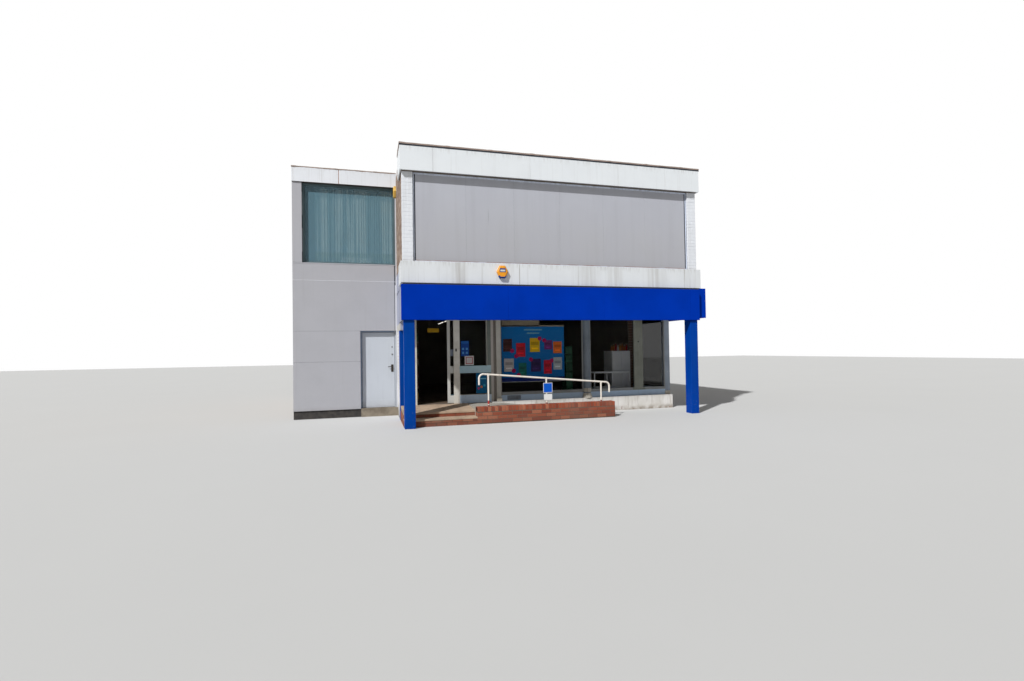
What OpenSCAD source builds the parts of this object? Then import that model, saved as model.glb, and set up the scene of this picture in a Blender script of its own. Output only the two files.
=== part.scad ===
// Corner shop building: a two-storey flat-roofed block with a recessed shopfront,
// and a set-back two-storey wing on its left.
// X runs along the street front, Y runs into the building and Z is up.
// The layout is measured from the front left corner of the main block's piers,
// and place() moves it so that the origin is the middle of the footprint on the ground.

/* [Main block] */
// Width of the main block over its side walls
main_w = 7480; // [7300:10:9000]
// Depth of the main block from the front piers to the rear face
main_d = 9100; // [8000:50:12000]
// Thickness of the outer brick walls
wall_t = 235; // [200:5:240]
// Height of the shop floor above the ground
shop_floor_z = 360; // [300:10:450]
// Height of the canopy soffit above the ground
soffit_z = 2650; // [2600:5:2700]
// Height of the underside of the canopy's left cheek above the ground
cheek_z = 2370; // [2350:5:2400]
// Height of the underside of the cheek's lower rear part above the ground
cheek_low_z = 2200; // [2180:5:2240]
// Distance of the cheek's lower rear part behind the front piers
cheek_low_y = 1000; // [500:10:1100]
// Height of the upper floor's surface above the ground
upper_floor_z = 3200; // [3180:5:3240]
// Thickness of the upper floor slabs
upper_floor_t = 200; // [150:10:300]
// Thickness of the roof slabs
roof_t = 200; // [150:10:240]
// Depth of the roof surfaces below the top of the walls
roof_drop = 40; // [20:5:80]

/* [Upper front] */
// Width of the white brick piers
pier_w = 235; // [180:5:320]
// Depth of the white brick piers
pier_d = 110; // [80:5:120]
// Distance of the grey panel behind the front of the piers
panel_setback = 50; // [30:5:60]
// Thickness of the grey panel
panel_t = 40; // [25:5:60]
// Width of the raised border round the grey panel
panel_border = 35; // [25:5:120]
// Height that the border stands proud of the grey panel
panel_border_proud = 15; // [5:1:20]
// Thickness of the wall behind the grey panel
front_wall_t = 250; // [100:5:260]

/* [Fascias and sign] */
// Distance that the white fascias stand in front of the piers
fascia_proud = 107; // [80:1:160]
// Distance that the fascias lap past the side walls
fascia_lap = 50; // [40:5:80]
// Length of the fascia returns along the side walls
fascia_return = 700; // [400:10:1200]
// Thickness of the fascia boards
fascia_t = 30; // [18:1:35]
// Height of the lower white fascia
mid_fascia_h = 480; // [400:5:560]
// Height of the underside of the top fascia above the ground
top_fascia_z = 5692; // [5500:1:5900]
// Height of the top white fascia
top_fascia_h = 539; // [400:1:560]
// Thickness of the felt coping on the main roof's edge
coping_t = 72; // [40:1:100]
// Overhang of the felt copings
coping_lap = 10; // [5:1:25]
// Depth of the front sign box
sign_d = 120; // [80:5:200]
// Height of the front sign box
sign_h = 776; // [600:2:780]
// Distance of the front sign's right end from the side wall's outer face
sign_end_inset = 80; // [20:5:120]
// Depth of the side sign box
side_sign_d = 190; // [150:5:250]
// Length of the side sign box
side_sign_l = 3400; // [2500:50:3600]
// Height of the side sign box
side_sign_h = 757; // [600:1:770]
// Thickness of the canopy soffit
soffit_t = 60; // [30:5:80]
// Thickness of the canopy beam behind the sign
canopy_beam_t = 250; // [200:5:255]

/* [Shopfront] */
// Distance of the glazing behind the front piers
shop_setback = 1300; // [1200:10:1500]
// Depth of the shopfront frames
shop_frame_d = 50; // [40:1:70]
// Left edge of the entrance opening
entrance_x = 401; // [380:1:430]
// Clear width of the entrance opening
entrance_w = 761; // [755:1:790]
// Distance from the entrance opening to the fixed side screen
screen_gap = 156; // [120:1:170]
// Width of the side screen's left stile
screen_stile_l = 145; // [120:1:180]
// Width of the glass in the side screen
screen_glass_w = 718; // [650:1:740]
// Width of the side screen's right stile
screen_stile_r = 97; // [60:1:110]
// Width of the box post beside the side screen
screen_post_w = 132; // [80:1:150]
// Height of the track box over the sliding door
track_h = 90; // [80:5:140]
// Height of the bottom rails of the side screen and the sliding door
bottom_rail_h = 200; // [150:5:260]
// Height of the underside of the middle rails above the shop floor
mid_rail_z = 767; // [650:1:850]
// Height of the middle rails
mid_rail_h = 160; // [100:5:240]
// Width of the first window post
post_a_w = 116; // [90:1:140]
// Distance between the centres of the first window post and the round post
post_pitch = 2458; // [2300:1:2480]
// Diameter of the round window post
round_post_d = 200; // [160:5:240]
// Width of the wide mullion
mullion_w = 260; // [150:5:280]
// Distance from the wide mullion's centre to the corner post
mullion_to_corner = 825; // [700:5:950]
// Width of the corner post
corner_post_w = 154; // [120:1:160]
// Distance of the corner post behind the face of the side wall
corner_inset = 10; // [5:1:40]
// Height of the window sill above the ground
sill_z = 585; // [540:5:650]
// Width of the bars round the window glass
frame_bar = 50; // [35:1:70]
// Width of the slim bars beside the window posts
side_bar = 20; // [15:1:50]
// Thickness of the shopfront glass
glass_t = 10; // [6:1:14]
// Thickness of the window riser panels
riser_t = 60; // [40:5:80]
// Distance that the painted plinth stands in front of the glazing
plinth_ledge = 110; // [110:1:160]
// Depth of the painted plinth behind the face of the glazing
plinth_t = 160; // [155:5:200]
// Height of the painted plinth
plinth_h = 370; // [340:5:400]
// Length of the glazed return bay on the right side
return_l = 2000; // [1500:10:2200]

/* [Sliding door] */
// Width of the sliding leaf
leaf_w = 1075; // [1050:1:1100]
// Thickness of the sliding leaf
leaf_t = 40; // [30:1:50]
// Width of the stiles of the sliding leaf
leaf_stile_w = 65; // [60:1:100]
// Height of the top rail of the sliding leaf
leaf_top_rail = 90; // [60:1:120]
// Clearance round the sliding leaf
leaf_clear = 10; // [6:1:15]
// Thickness of the leaf's hanger plates
hanger_t = 4; // [3:0.5:6]
// Width of the leaf's hanger plates
hanger_w = 60; // [40:5:90]
// Distance of the hangers from the leaf's edges
hanger_inset = 150; // [100:10:250]
// Width of the slot in the track box
track_slot_w = 16; // [16:1:20]
// Thickness of the lips on both sides of the slot
track_lip_t = 10; // [6:1:15]
// Depth of the track box
track_d = 130; // [110:5:150]
// Radius of the hanger rollers
roller_r = 16; // [12:1:20]
// Width of the hanger rollers
roller_w = 30; // [26:1:36]
// Running gap under the rollers
roller_gap = 0.3; // [0.2:0.1:0.6]

/* [Corner column and steps] */
// Distance that the two blue columns stand in front of the piers
pier_proud = 180; // [110:5:220]
// Distance of the right column from the face of the side wall
column_inset = 120; // [20:5:160]
// Width of the right column
column_w = 210; // [180:5:235]
// Depth of the two blue columns
column_d = 260; // [200:5:300]
// Height of the lower step
step_h = 172; // [130:1:190]
// Depth of the lower step's tread
tread_d = 300; // [260:5:350]
// Height of the landing's front edge above the ground
landing_front_z = 286; // [260:1:295]
// Thickness of the stone nosing on each step
nosing_t = 40; // [30:1:60]
// Overhang of the stone nosing
nosing_lap = 15; // [5:1:30]
// Left end of the ramp wall
ramp_wall_x = 1643; // [1600:1:1700]
// Length of the ramp wall
ramp_wall_l = 3447; // [3430:1:3800]
// Thickness of the ramp wall
ramp_wall_t = 215; // [180:5:260]
// Height of the ramp wall
ramp_wall_h = 380; // [370:5:450]
// Height of the ramp's upper end above the ground
ramp_top_z = 350; // [300:5:360]
// Height of the ramp's lower end above the ground
ramp_end_z = 60; // [20:5:120]
// Length of the level stretch behind the ramp wall
ramp_level_l = 757; // [700:1:900]

/* [Handrail] */
// Diameter of the handrail tube
rail_d = 42; // [32:1:50]
// Diameter of the welded joints at the bends
rail_joint_d = 45; // [44:1:54]
// Diameter of the handrail's posts
rail_post_d = 38; // [30:1:40]
// Distance of the first rail post from the end of the ramp wall
rail_post_inset = 285; // [260:5:320]
// Distance between the rail posts
rail_post_pitch = 1423; // [1380:1:1430]
// Height of the rail's centre at the first post
rail_z = 1125; // [1000:5:1150]
// Fall of the rail in each metre of its length
rail_fall = 90; // [60:1:120]
// Length of the rail past the end posts before its bends
rail_overrun = 120; // [80:5:200]
// Radius of the bends at the rail's ends
rail_bend_r = 100; // [80:5:140]
// Length of the straight drop at the rail's ends
rail_drop = 150; // [60:5:180]

/* [Wing] */
// Width of the wing
wing_w = 2580; // [2400:10:3200]
// Distance of the wing's front behind the main block's piers
wing_setback = 2420; // [2400:10:2800]
// Rise of the wing's walls above the main block's walls
wing_rise = 189; // [150:1:400]
// Height of the wing's white fascia
wing_fascia_h = 370; // [300:5:420]
// Distance that the wing's fascia stands proud of the cladding
wing_fascia_proud = 30; // [10:5:60]
// Thickness of the wing's front wall with its cladding
wing_front_t = 235; // [235:5:300]
// Width of the pier left of the wing's window
wing_pier_w = 232; // [180:1:300]
// Width of the strip right of the wing's window and door
wing_strip_w = 36; // [30:1:60]
// Height of the wing's window sill above the ground
wing_sill_z = 3977; // [3800:1:4200]
// Distance of the wing window's frame behind the cladding
wing_window_setback = 90; // [60:5:100]
// Height of the wing's door sill above the ground
wing_door_z = 215; // [160:5:260]
// Clear height of the wing's doorway
wing_door_h = 2024; // [1950:1:2060]
// Width of the wing's doorway
wing_door_w = 910; // [850:5:950]
// Height of the dark base under the cladding
wing_base_h = 209; // [150:1:215]
// Distance of the dark base behind the face of the cladding
wing_base_setback = 25; // [15:5:50]
// Distance that the concrete threshold stands in front of the cladding
threshold_proud = 20; // [10:5:60]
// Thickness of the wing's coping
wing_coping_t = 30; // [20:1:50]
// Width of the upstand on the right edge of the wing's roof
wing_upstand_w = 110; // [80:5:150]

/* [Wing door] */
// Thickness of the wing's door leaf
wing_leaf_t = 44; // [38:1:50]
// Distance of the leaf's face behind the cladding
wing_leaf_setback = 110; // [90:5:130]
// Distance that the door frame stands in front of the leaf
door_frame_proud = 30; // [20:5:40]
// Width of the members of the door frame
door_frame_w = 35; // [30:1:50]
// Gap round the wing's door leaf
door_gap = 8; // [7:1:12]
// Distance of the hinge pins behind the leaf's inner face
hinge_offset = 10; // [10:0.5:14]
// Radius of the hinge knuckles
knuckle_r = 9; // [7:0.5:9]
// Radius of the hinge pins
hinge_pin_r = 5; // [4:0.5:5.5]
// Running gap at the hinge pins
hinge_gap = 0.3; // [0.2:0.1:0.5]
// Height of one hinge knuckle
knuckle_h = 40; // [30:1:60]
// Thickness of the hinge plates
hinge_plate_t = 5; // [3:0.5:6]
// Length of the hinge plates on the leaf
hinge_plate_l = 40; // [30:1:60]
// Height of the lowest hinge above the leaf's bottom edge
hinge_low_z = 150; // [120:10:250]
// Height of the door handle above the door sill
handle_z = 1030; // [950:10:1100]
// Height of the lock cylinder above the door sill
lock_z = 1400; // [1300:10:1500]
// Distance of the handle and the lock from the leaf's right edge
handle_inset = 60; // [50:1:90]
// Length of the door lever
lever_l = 115; // [90:5:140]
// Distance that the levers stand off the leaf
lever_off = 45; // [35:1:60]

/* [Upper windows] */
// Width of the plain windows in the right side and rear walls
plain_window_w = 1200; // [900:50:1500]
// Height of the plain windows
plain_window_h = 1200; // [900:50:1400]
// Height of the plain windows' sills above the ground
plain_window_z = 4150; // [4000:10:4200]
// Width of the bars of the window frames
window_bar = 45; // [35:1:70]
// Depth of the window frames
window_frame_d = 60; // [50:1:70]
// Distance of the plain windows behind the brick face
plain_window_setback = 80; // [50:5:110]
// Thickness of the window glass
pane_t = 6; // [4:1:12]

/* [Fittings] */
// Thickness of the net curtain
curtain_t = 3; // [2:0.5:5]
// Depth of the curtain's folds from crest to crest
curtain_fold = 50; // [30:5:55]
// Number of folds in the curtain
curtain_folds = 19; // [12:1:24]
// Distance of the curtain's hem above the window sill
curtain_hem = 60; // [50:5:90]
// Distance of the curtain from the window's sides
curtain_side_gap = 15; // [10:5:40]
// Height of the curtain rail
curtain_rail_h = 25; // [18:1:40]
// Gap between the curtain and its rail
curtain_gap = 0.3; // [0.2:0.1:0.5]
// Width of the alarm boxes
alarm_w = 270; // [220:5:300]
// Height of the alarm boxes
alarm_h = 285; // [250:5:340]
// Depth of the alarm boxes
alarm_d = 80; // [50:5:110]
// Distance of the front alarm box from the main block's left face
alarm_x = 2236; // [2000:1:2600]
// Distance of the side alarm box from the wing's front
alarm_side_gap = 15; // [10:5:60]
// Height of the side alarm box's centre above the ground
alarm_side_z = 5880; // [5700:10:5950]
// Distance of the display banner from the window's left bar
display_gap = 30; // [10:5:60]
// Width of the display banner in the window
display_w = 1740; // [1400:10:1800]
// Height of the display banner
display_h = 1450; // [1200:10:1500]
// Height of the display banner's top above the ground
display_top_z = 2290; // [2200:5:2400]
// Thickness of the display banner
display_t = 12; // [8:1:20]
// Width of the box over the banner
display_box_w = 1040; // [800:10:1300]
// Depth of the box over the banner
display_box_d = 80; // [60:5:90]
// Height of the rail that holds the banner
display_rail_h = 40; // [25:5:60]

/* [Hidden] */
$fn = 48;
// Overlap that fuses the pieces of one solid, and the excess of cuts
fuse = 1;
// Rise of the front sign's underside above the cheek's
sign_rise = 4;
// Rise of the side sign's underside above the cheek's
side_sign_rise = 67;

wall_top_z = top_fascia_z + top_fascia_h;
coping_top_z = wall_top_z + coping_t;
upper_floor_under_z = upper_floor_z - upper_floor_t;
mid_fascia_top_z = upper_floor_z + mid_fascia_h;
fascia_y = -fascia_proud;
front_y = fascia_y - sign_d;
canopy_back_y = fascia_y + canopy_beam_t;
canopy_z = soffit_z + soffit_t;
inner_r = main_w - wall_t;
rear_inner_y = main_d - wall_t;
front_wall_y = panel_setback + panel_t;
front_room_y = front_wall_y + front_wall_t;
shelf_y = min(front_wall_y, pier_d);
column_back_y = column_d - pier_proud;

leaf_x = entrance_x + entrance_w;
screen_x = leaf_x + screen_gap;
screen_w = screen_stile_l + screen_glass_w + screen_stile_r;
screen_end_x = screen_x + screen_w;
post_a_x = screen_end_x + screen_post_w;
post_a_end_x = post_a_x + post_a_w;
post_a_c = post_a_x + post_a_w / 2;
post_b_c = post_a_c + post_pitch;
corner_end_x = main_w - corner_inset;
corner_x = corner_end_x - corner_post_w;
corner_end_y = shop_setback + corner_post_w;
mullion_x = corner_x - mullion_to_corner - mullion_w / 2;
pane_a_x = post_a_end_x + side_bar;
pane_a_end_x = post_b_c - round_post_d / 2 - side_bar;
pane_b_x = post_b_c + round_post_d / 2 + side_bar;
pane_c_end_x = corner_x - side_bar;
frame_back_y = shop_setback + shop_frame_d;
glass_y = shop_setback + (shop_frame_d - glass_t) / 2;
return_x = corner_end_x - shop_frame_d;
return_end_y = shop_setback + return_l;
plinth_front_y = shop_setback - plinth_ledge;
frame_sill_z = sill_z - frame_bar;

track_z = soffit_z - track_h;
leaf_y = frame_back_y + leaf_clear;
leaf_mid_y = leaf_y + leaf_t / 2;
leaf_z = shop_floor_z + leaf_clear;
leaf_top_z = track_z - leaf_clear;
roller_z = track_z + track_lip_t + roller_gap + roller_r;

ramp_level_end_x = ramp_wall_x + ramp_level_l;
ramp_end_x = ramp_wall_x + ramp_wall_l;
rail_y = ramp_wall_t / 2;
rail_first_x = ramp_wall_x + rail_post_inset;
rail_last_x = rail_first_x + 2 * rail_post_pitch;
rail_slope = atan(rail_fall / 1000);

wing_top_z = wall_top_z + wing_rise;
wing_inner_x = -wing_w + wall_t;
wing_inner_y = wing_setback + wing_front_t;
wing_fascia_z = wing_top_z - wing_fascia_h;
wing_fascia_y = wing_setback - wing_fascia_proud;
wing_door_r = -wing_strip_w;
wing_door_l = wing_door_r - wing_door_w;
wing_door_top = wing_door_z + wing_door_h;
wing_window_l = -wing_w + wing_pier_w;
wing_window_r = -wing_strip_w;
wing_window_y = wing_setback + wing_window_setback;
wing_window_back_y = wing_window_y + window_frame_d;
curtain_rail_z = wing_fascia_z - window_bar - curtain_rail_h;
curtain_y = (wing_window_back_y + wing_inner_y) / 2;

door_leaf_x = wing_door_l + door_frame_w + door_gap;
door_leaf_w = wing_door_w - 2 * door_frame_w - 2 * door_gap;
door_leaf_z = wing_door_z + door_gap;
door_leaf_h = wing_door_h - door_frame_w - 2 * door_gap;
door_leaf_y = wing_setback + wing_leaf_setback;
door_inner_y = door_leaf_y + wing_leaf_t;
door_frame_y = door_leaf_y - door_frame_proud;
hinge_x = door_leaf_x - door_gap / 2;
hinge_y = door_inner_y + hinge_offset;
hinge_heights = [for (k = [0, 1, 2]) door_leaf_z + hinge_low_z
                 + k * (door_leaf_h / 2 - hinge_low_z - knuckle_h)];
handle_x = door_leaf_x + door_leaf_w - handle_inset;

side_window_ys = [main_d / 2 - plain_window_w, main_d - 2 * plain_window_w];
rear_window_xs = [main_w / 2 - 1.5 * plain_window_w, main_w / 2 + 0.5 * plain_window_w];
wing_rear_window_x = (wing_inner_x - plain_window_w) / 2;
side_frame_x = main_w - plain_window_setback - window_frame_d;
rear_frame_y = main_d - plain_window_setback - window_frame_d;

x_min = -wing_w - coping_lap;
x_max = main_w + side_sign_d;
y_min = front_y;
y_max = main_d + coping_lap;

// Moves the layout so that the origin is the middle of the footprint
module place() {
    translate([-(x_min + x_max) / 2, -(y_min + y_max) / 2, 0]) children();
}

// A block given by its two opposite corners
module block(a, b) {
    translate(a) cube(b - a);
}

// An outline in Y and Z, extruded along X from x0 to x1
module along_x(x0, x1, points) {
    translate([x0, 0, 0]) rotate([90, 0, 90]) linear_extrude(x1 - x0) polygon(points);
}

// An outline in X and Z, extruded along Y from y0 to y1
module along_y(y0, y1, points) {
    translate([0, y1, 0]) rotate([90, 0, 0]) linear_extrude(y1 - y0) polygon(points);
}

// A rectangular frame that faces the street, with rails above and below and bars at its sides
module frame_xz(a, b, rail, side) {
    difference() {
        block(a, b);
        block([a.x + side, a.y - fuse, a.z + rail], [b.x - side, b.y + fuse, b.z - rail]);
    }
}

// A rectangular frame that faces the side, with bars all round
module frame_yz(a, b, bar) {
    difference() {
        block(a, b);
        block([a.x - fuse, a.y + bar, a.z + bar], [b.x + fuse, b.y - bar, b.z - bar]);
    }
}

module floor_slabs() {
    color("gainsboro") place() {
        block([wall_t, shop_setback, 0], [screen_end_x, rear_inner_y, shop_floor_z]);
        block([screen_end_x - fuse, shop_setback + plinth_t, 0],
              [inner_r, rear_inner_y, shop_floor_z]);
        block([wing_inner_x, wing_inner_y, 0], [0, rear_inner_y, wing_door_z]);
        block([wall_t, canopy_back_y, upper_floor_under_z],
              [inner_r, rear_inner_y, upper_floor_z]);
        block([wing_inner_x, wing_inner_y, upper_floor_under_z],
              [0, rear_inner_y, upper_floor_z]);
    }
}

module roof_slabs() {
    color("dimgray") place() {
        block([wall_t, front_room_y, wall_top_z - roof_drop - roof_t],
              [inner_r, rear_inner_y, wall_top_z - roof_drop]);
        block([wing_inner_x, wing_inner_y, wing_top_z - roof_drop - roof_t],
              [0, rear_inner_y, wing_top_z - roof_drop]);
        block([-wing_upstand_w, wing_inner_y, wing_top_z - roof_drop - roof_t],
              [0, rear_inner_y, wing_top_z]);
    }
}

module main_coping() {
    difference() {
        union() {
            block([-fascia_lap - coping_lap, fascia_y - coping_lap, wall_top_z],
                  [main_w + fascia_lap + coping_lap, fascia_return, coping_top_z]);
            block([0, fascia_return - fuse, wall_top_z],
                  [main_w + coping_lap, main_d + coping_lap, coping_top_z]);
        }
        block([wall_t, front_room_y, wall_top_z - fuse],
              [inner_r, rear_inner_y, coping_top_z + fuse]);
    }
}

module wing_coping() {
    difference() {
        block([-wing_w - coping_lap, wing_fascia_y - coping_lap, wing_top_z],
              [0, main_d + coping_lap, wing_top_z + wing_coping_t]);
        block([wing_inner_x, wing_inner_y, wing_top_z - fuse],
              [-wing_upstand_w, rear_inner_y, wing_top_z + wing_coping_t + fuse]);
    }
}

module roof_copings() {
    color("dimgray") place() {
        main_coping();
        wing_coping();
    }
}

module left_blue_pier() {
    color("royalblue") place()
        block([0, -pier_proud, 0], [wall_t, column_back_y, cheek_z]);
}

// Outline of a side wall: the lower storey starts at y, the upper storey at the piers
function side_wall(y) = [
    [y, 0], [main_d, 0], [main_d, wall_top_z], [pier_d, wall_top_z],
    [pier_d, upper_floor_z], [y, upper_floor_z]
];

module left_side_wall() {
    color("rosybrown") place() along_x(0, wall_t, side_wall(shop_setback));
}

module right_side_wall() {
    color("rosybrown") place() difference() {
        along_x(inner_r, main_w, side_wall(return_end_y));
        for (y = side_window_ys)
            block([inner_r - fuse, y, plain_window_z],
                  [main_w + fuse, y + plain_window_w, plain_window_z + plain_window_h]);
    }
}

module rear_window_hole(x) {
    block([x, rear_inner_y - fuse, plain_window_z],
          [x + plain_window_w, main_d + fuse, plain_window_z + plain_window_h]);
}

module rear_walls() {
    color("rosybrown") place() {
        difference() {
            block([wall_t, rear_inner_y, 0], [inner_r, main_d, wall_top_z]);
            for (x = rear_window_xs) rear_window_hole(x);
        }
        difference() {
            block([wing_inner_x, rear_inner_y, 0], [0, main_d, wing_top_z]);
            rear_window_hole(wing_rear_window_x);
        }
    }
}

module front_upper_wall() {
    color("lightgray") place()
        block([wall_t, front_wall_y, upper_floor_z], [inner_r, front_room_y, wall_top_z]);
}

module front_upper_piers() {
    color("white") place() for (x = [0, main_w - pier_w])
        block([x, 0, mid_fascia_top_z], [x + pier_w, pier_d, top_fascia_z]);
}

module front_grey_panel() {
    color("silver") place() {
        block([wall_t, panel_setback, mid_fascia_top_z],
              [inner_r, front_wall_y, top_fascia_z]);
        frame_xz([wall_t, panel_setback - panel_border_proud, mid_fascia_top_z],
                 [inner_r, panel_setback + fuse, top_fascia_z], panel_border, panel_border);
    }
}

// Front board and side returns of a fascia, with a board that closes it back to the wall
module fascia_box(z, h, board_z) {
    difference() {
        block([-fascia_lap, fascia_y, z], [main_w + fascia_lap, fascia_return, z + h]);
        block([-fascia_lap + fascia_t, fascia_y + fascia_t, z - fuse],
              [main_w + fascia_lap - fascia_t, fascia_return + fuse, z + h + fuse]);
    }
    block([-fascia_lap + fascia_t - fuse, fascia_y + fascia_t - fuse, board_z],
          [main_w + fascia_lap - fascia_t + fuse, shelf_y - fuse, board_z + fascia_t]);
    block([-fascia_lap + fascia_t - fuse, shelf_y - 2 * fuse, board_z],
          [wall_t, pier_d, board_z + fascia_t]);
    block([inner_r, shelf_y - 2 * fuse, board_z],
          [main_w + fascia_lap - fascia_t + fuse, pier_d, board_z + fascia_t]);
    block([wall_t - fuse, shelf_y - 2 * fuse, board_z],
          [inner_r + fuse, front_wall_y, board_z + fascia_t]);
}

module top_fascia() {
    color("white") place() fascia_box(top_fascia_z, top_fascia_h, top_fascia_z);
}

module mid_fascia() {
    color("white") place()
        fascia_box(upper_floor_z, mid_fascia_h, mid_fascia_top_z - fascia_t);
}

module canopy_beam() {
    color("dimgray") place()
        block([wall_t, fascia_y, canopy_z], [main_w, canopy_back_y, upper_floor_z]);
}

module canopy_soffit() {
    color("white") place()
        block([wall_t, fascia_y, soffit_z], [main_w, shop_setback, canopy_z]);
}

// The cheek rests on the left column and reaches lower down near the wall
module canopy_left_cheek() {
    color("lightgray") place() along_x(0, wall_t, [
        [fascia_y, cheek_z], [cheek_low_y, cheek_z], [cheek_low_y, cheek_low_z],
        [shop_setback, cheek_low_z], [shop_setback, upper_floor_z], [fascia_y, upper_floor_z]
    ]);
}

module shop_sign_front() {
    color("mediumblue") place()
        block([-fascia_lap, front_y, cheek_z + sign_rise],
              [main_w - sign_end_inset, fascia_y, cheek_z + sign_rise + sign_h]);
}

module shop_sign_side() {
    color("mediumblue") place()
        block([main_w, fascia_y, cheek_z + side_sign_rise],
              [main_w + side_sign_d, side_sign_l, cheek_z + side_sign_rise + side_sign_h]);
}

module shopfront_bulkhead() {
    color("white") place() {
        block([wall_t, shop_setback, soffit_z],
              [inner_r + fuse, shop_setback + plinth_t, upper_floor_under_z]);
        block([inner_r, canopy_back_y, canopy_z], [main_w, return_end_y, upper_floor_z]);
        block([inner_r, shop_setback, soffit_z], [main_w, return_end_y, canopy_z + fuse]);
    }
}

module shopfront_frame() {
    color("white") place() {
        block([wall_t, shop_setback, shop_floor_z], [entrance_x, frame_back_y, soffit_z]);
        block([screen_end_x, shop_setback, plinth_h], [post_a_x, frame_back_y, soffit_z]);
        frame_xz([post_a_end_x, shop_setback, frame_sill_z],
                 [post_b_c - round_post_d / 2, frame_back_y, soffit_z], frame_bar, side_bar);
        frame_xz([post_b_c + round_post_d / 2, shop_setback, frame_sill_z],
                 [corner_x, frame_back_y, soffit_z], frame_bar, side_bar);
        block([mullion_x, shop_setback, frame_sill_z + fuse],
              [mullion_x + mullion_w, frame_back_y, soffit_z - fuse]);
        frame_yz([return_x, corner_end_y, frame_sill_z],
                 [corner_end_x, return_end_y, soffit_z], frame_bar);
    }
}

module shopfront_posts() {
    color("white") place() {
        block([post_a_x, shop_setback - riser_t, plinth_h],
              [post_a_end_x, frame_back_y, soffit_z]);
        translate([post_b_c, shop_setback, plinth_h])
            cylinder(h = soffit_z - plinth_h, d = round_post_d);
        block([corner_x, shop_setback, plinth_h], [corner_end_x, corner_end_y, soffit_z]);
    }
}

// Frame with a bottom, a middle and a top rail, from z0 to z1
module glazed_leaf(x, y, w, depth, z0, z1, stile_l, stile_r, top_rail) {
    mid_z = shop_floor_z + mid_rail_z;
    difference() {
        block([x, y, z0], [x + w, y + depth, z1]);
        block([x + stile_l, y - fuse, shop_floor_z + bottom_rail_h],
              [x + w - stile_r, y + depth + fuse, mid_z]);
        block([x + stile_l, y - fuse, mid_z + mid_rail_h],
              [x + w - stile_r, y + depth + fuse, z1 - top_rail]);
    }
}

// The two panes of a glazed leaf
module leaf_panes(x0, x1, y, top_z) {
    mid_z = shop_floor_z + mid_rail_z;
    block([x0, y, shop_floor_z + bottom_rail_h], [x1, y + glass_t, mid_z]);
    block([x0, y, mid_z + mid_rail_h], [x1, y + glass_t, top_z]);
}

module fixed_side_screen() {
    color("white") place()
        glazed_leaf(screen_x, shop_setback, screen_w, shop_frame_d, shop_floor_z, soffit_z,
                    screen_stile_l, screen_stile_r, track_h);
}

module shop_glass() {
    z0 = frame_sill_z + frame_bar;
    z1 = soffit_z - frame_bar;
    color("lightblue", 0.4) place() {
        leaf_panes(screen_x + screen_stile_l, screen_end_x - screen_stile_r, glass_y, track_z);
        block([pane_a_x, glass_y, z0], [pane_a_end_x, glass_y + glass_t, z1]);
        block([pane_b_x, glass_y, z0], [mullion_x, glass_y + glass_t, z1]);
        block([mullion_x + mullion_w, glass_y, z0], [pane_c_end_x, glass_y + glass_t, z1]);
        block([return_x + (shop_frame_d - glass_t) / 2, corner_end_y + frame_bar, z0],
              [return_x + (shop_frame_d + glass_t) / 2, return_end_y - frame_bar, z1]);
    }
}

module window_riser_panel() {
    color("lightsteelblue") place() {
        block([post_a_end_x, shop_setback, plinth_h],
              [post_b_c - round_post_d / 2, shop_setback + riser_t, frame_sill_z]);
        block([post_b_c + round_post_d / 2, shop_setback, plinth_h],
              [corner_x, shop_setback + riser_t, frame_sill_z]);
        block([corner_end_x - riser_t, corner_end_y, plinth_h],
              [corner_end_x, return_end_y, frame_sill_z]);
    }
}

module shop_plinth() {
    color("whitesmoke") place() {
        block([screen_end_x, plinth_front_y, 0],
              [main_w, shop_setback + plinth_t, plinth_h]);
        block([inner_r, shop_setback, 0], [main_w, return_end_y, plinth_h]);
    }
}

module sliding_door_track() {
    groove = roller_w / 2 + leaf_clear / 2;
    color("silver") place() along_x(entrance_x, screen_end_x, [
        [frame_back_y, track_z], [leaf_mid_y - track_slot_w / 2, track_z],
        [leaf_mid_y - track_slot_w / 2, track_z + track_lip_t],
        [leaf_mid_y - groove, track_z + track_lip_t],
        [leaf_mid_y - groove, roller_z + roller_r + leaf_clear],
        [leaf_mid_y + groove, roller_z + roller_r + leaf_clear],
        [leaf_mid_y + groove, track_z + track_lip_t],
        [leaf_mid_y + track_slot_w / 2, track_z + track_lip_t],
        [leaf_mid_y + track_slot_w / 2, track_z],
        [frame_back_y + track_d, track_z], [frame_back_y + track_d, soffit_z],
        [frame_back_y, soffit_z]
    ]);
}

module sliding_door_leaf() {
    color("whitesmoke") place() {
        glazed_leaf(leaf_x, leaf_y, leaf_w, leaf_t, leaf_z, leaf_top_z,
                    leaf_stile_w, leaf_stile_w, leaf_top_rail);
        for (x = [leaf_x + hanger_inset, leaf_x + leaf_w - hanger_inset]) {
            block([x - hanger_w / 2, leaf_mid_y - hanger_t / 2, leaf_top_z - fuse],
                  [x + hanger_w / 2, leaf_mid_y + hanger_t / 2, roller_z]);
            translate([x, leaf_mid_y + roller_w / 2, roller_z]) rotate([90, 0, 0])
                cylinder(h = roller_w, r = roller_r);
        }
    }
}

module sliding_door_glass() {
    color("lightblue", 0.4) place()
        leaf_panes(leaf_x + leaf_stile_w, leaf_x + leaf_w - leaf_stile_w,
                   leaf_y + (leaf_t - glass_t) / 2, leaf_top_z - leaf_top_rail);
}

// The column stands under the sign, and behind the sign it runs on up to the soffit
module corner_column() {
    x1 = main_w - column_inset;
    color("royalblue") place() {
        block([x1 - column_w, -pier_proud, 0], [x1, column_back_y, cheek_z]);
        block([x1 - column_w, fascia_y, cheek_z - fuse], [x1, column_back_y, soffit_z]);
    }
}

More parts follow.
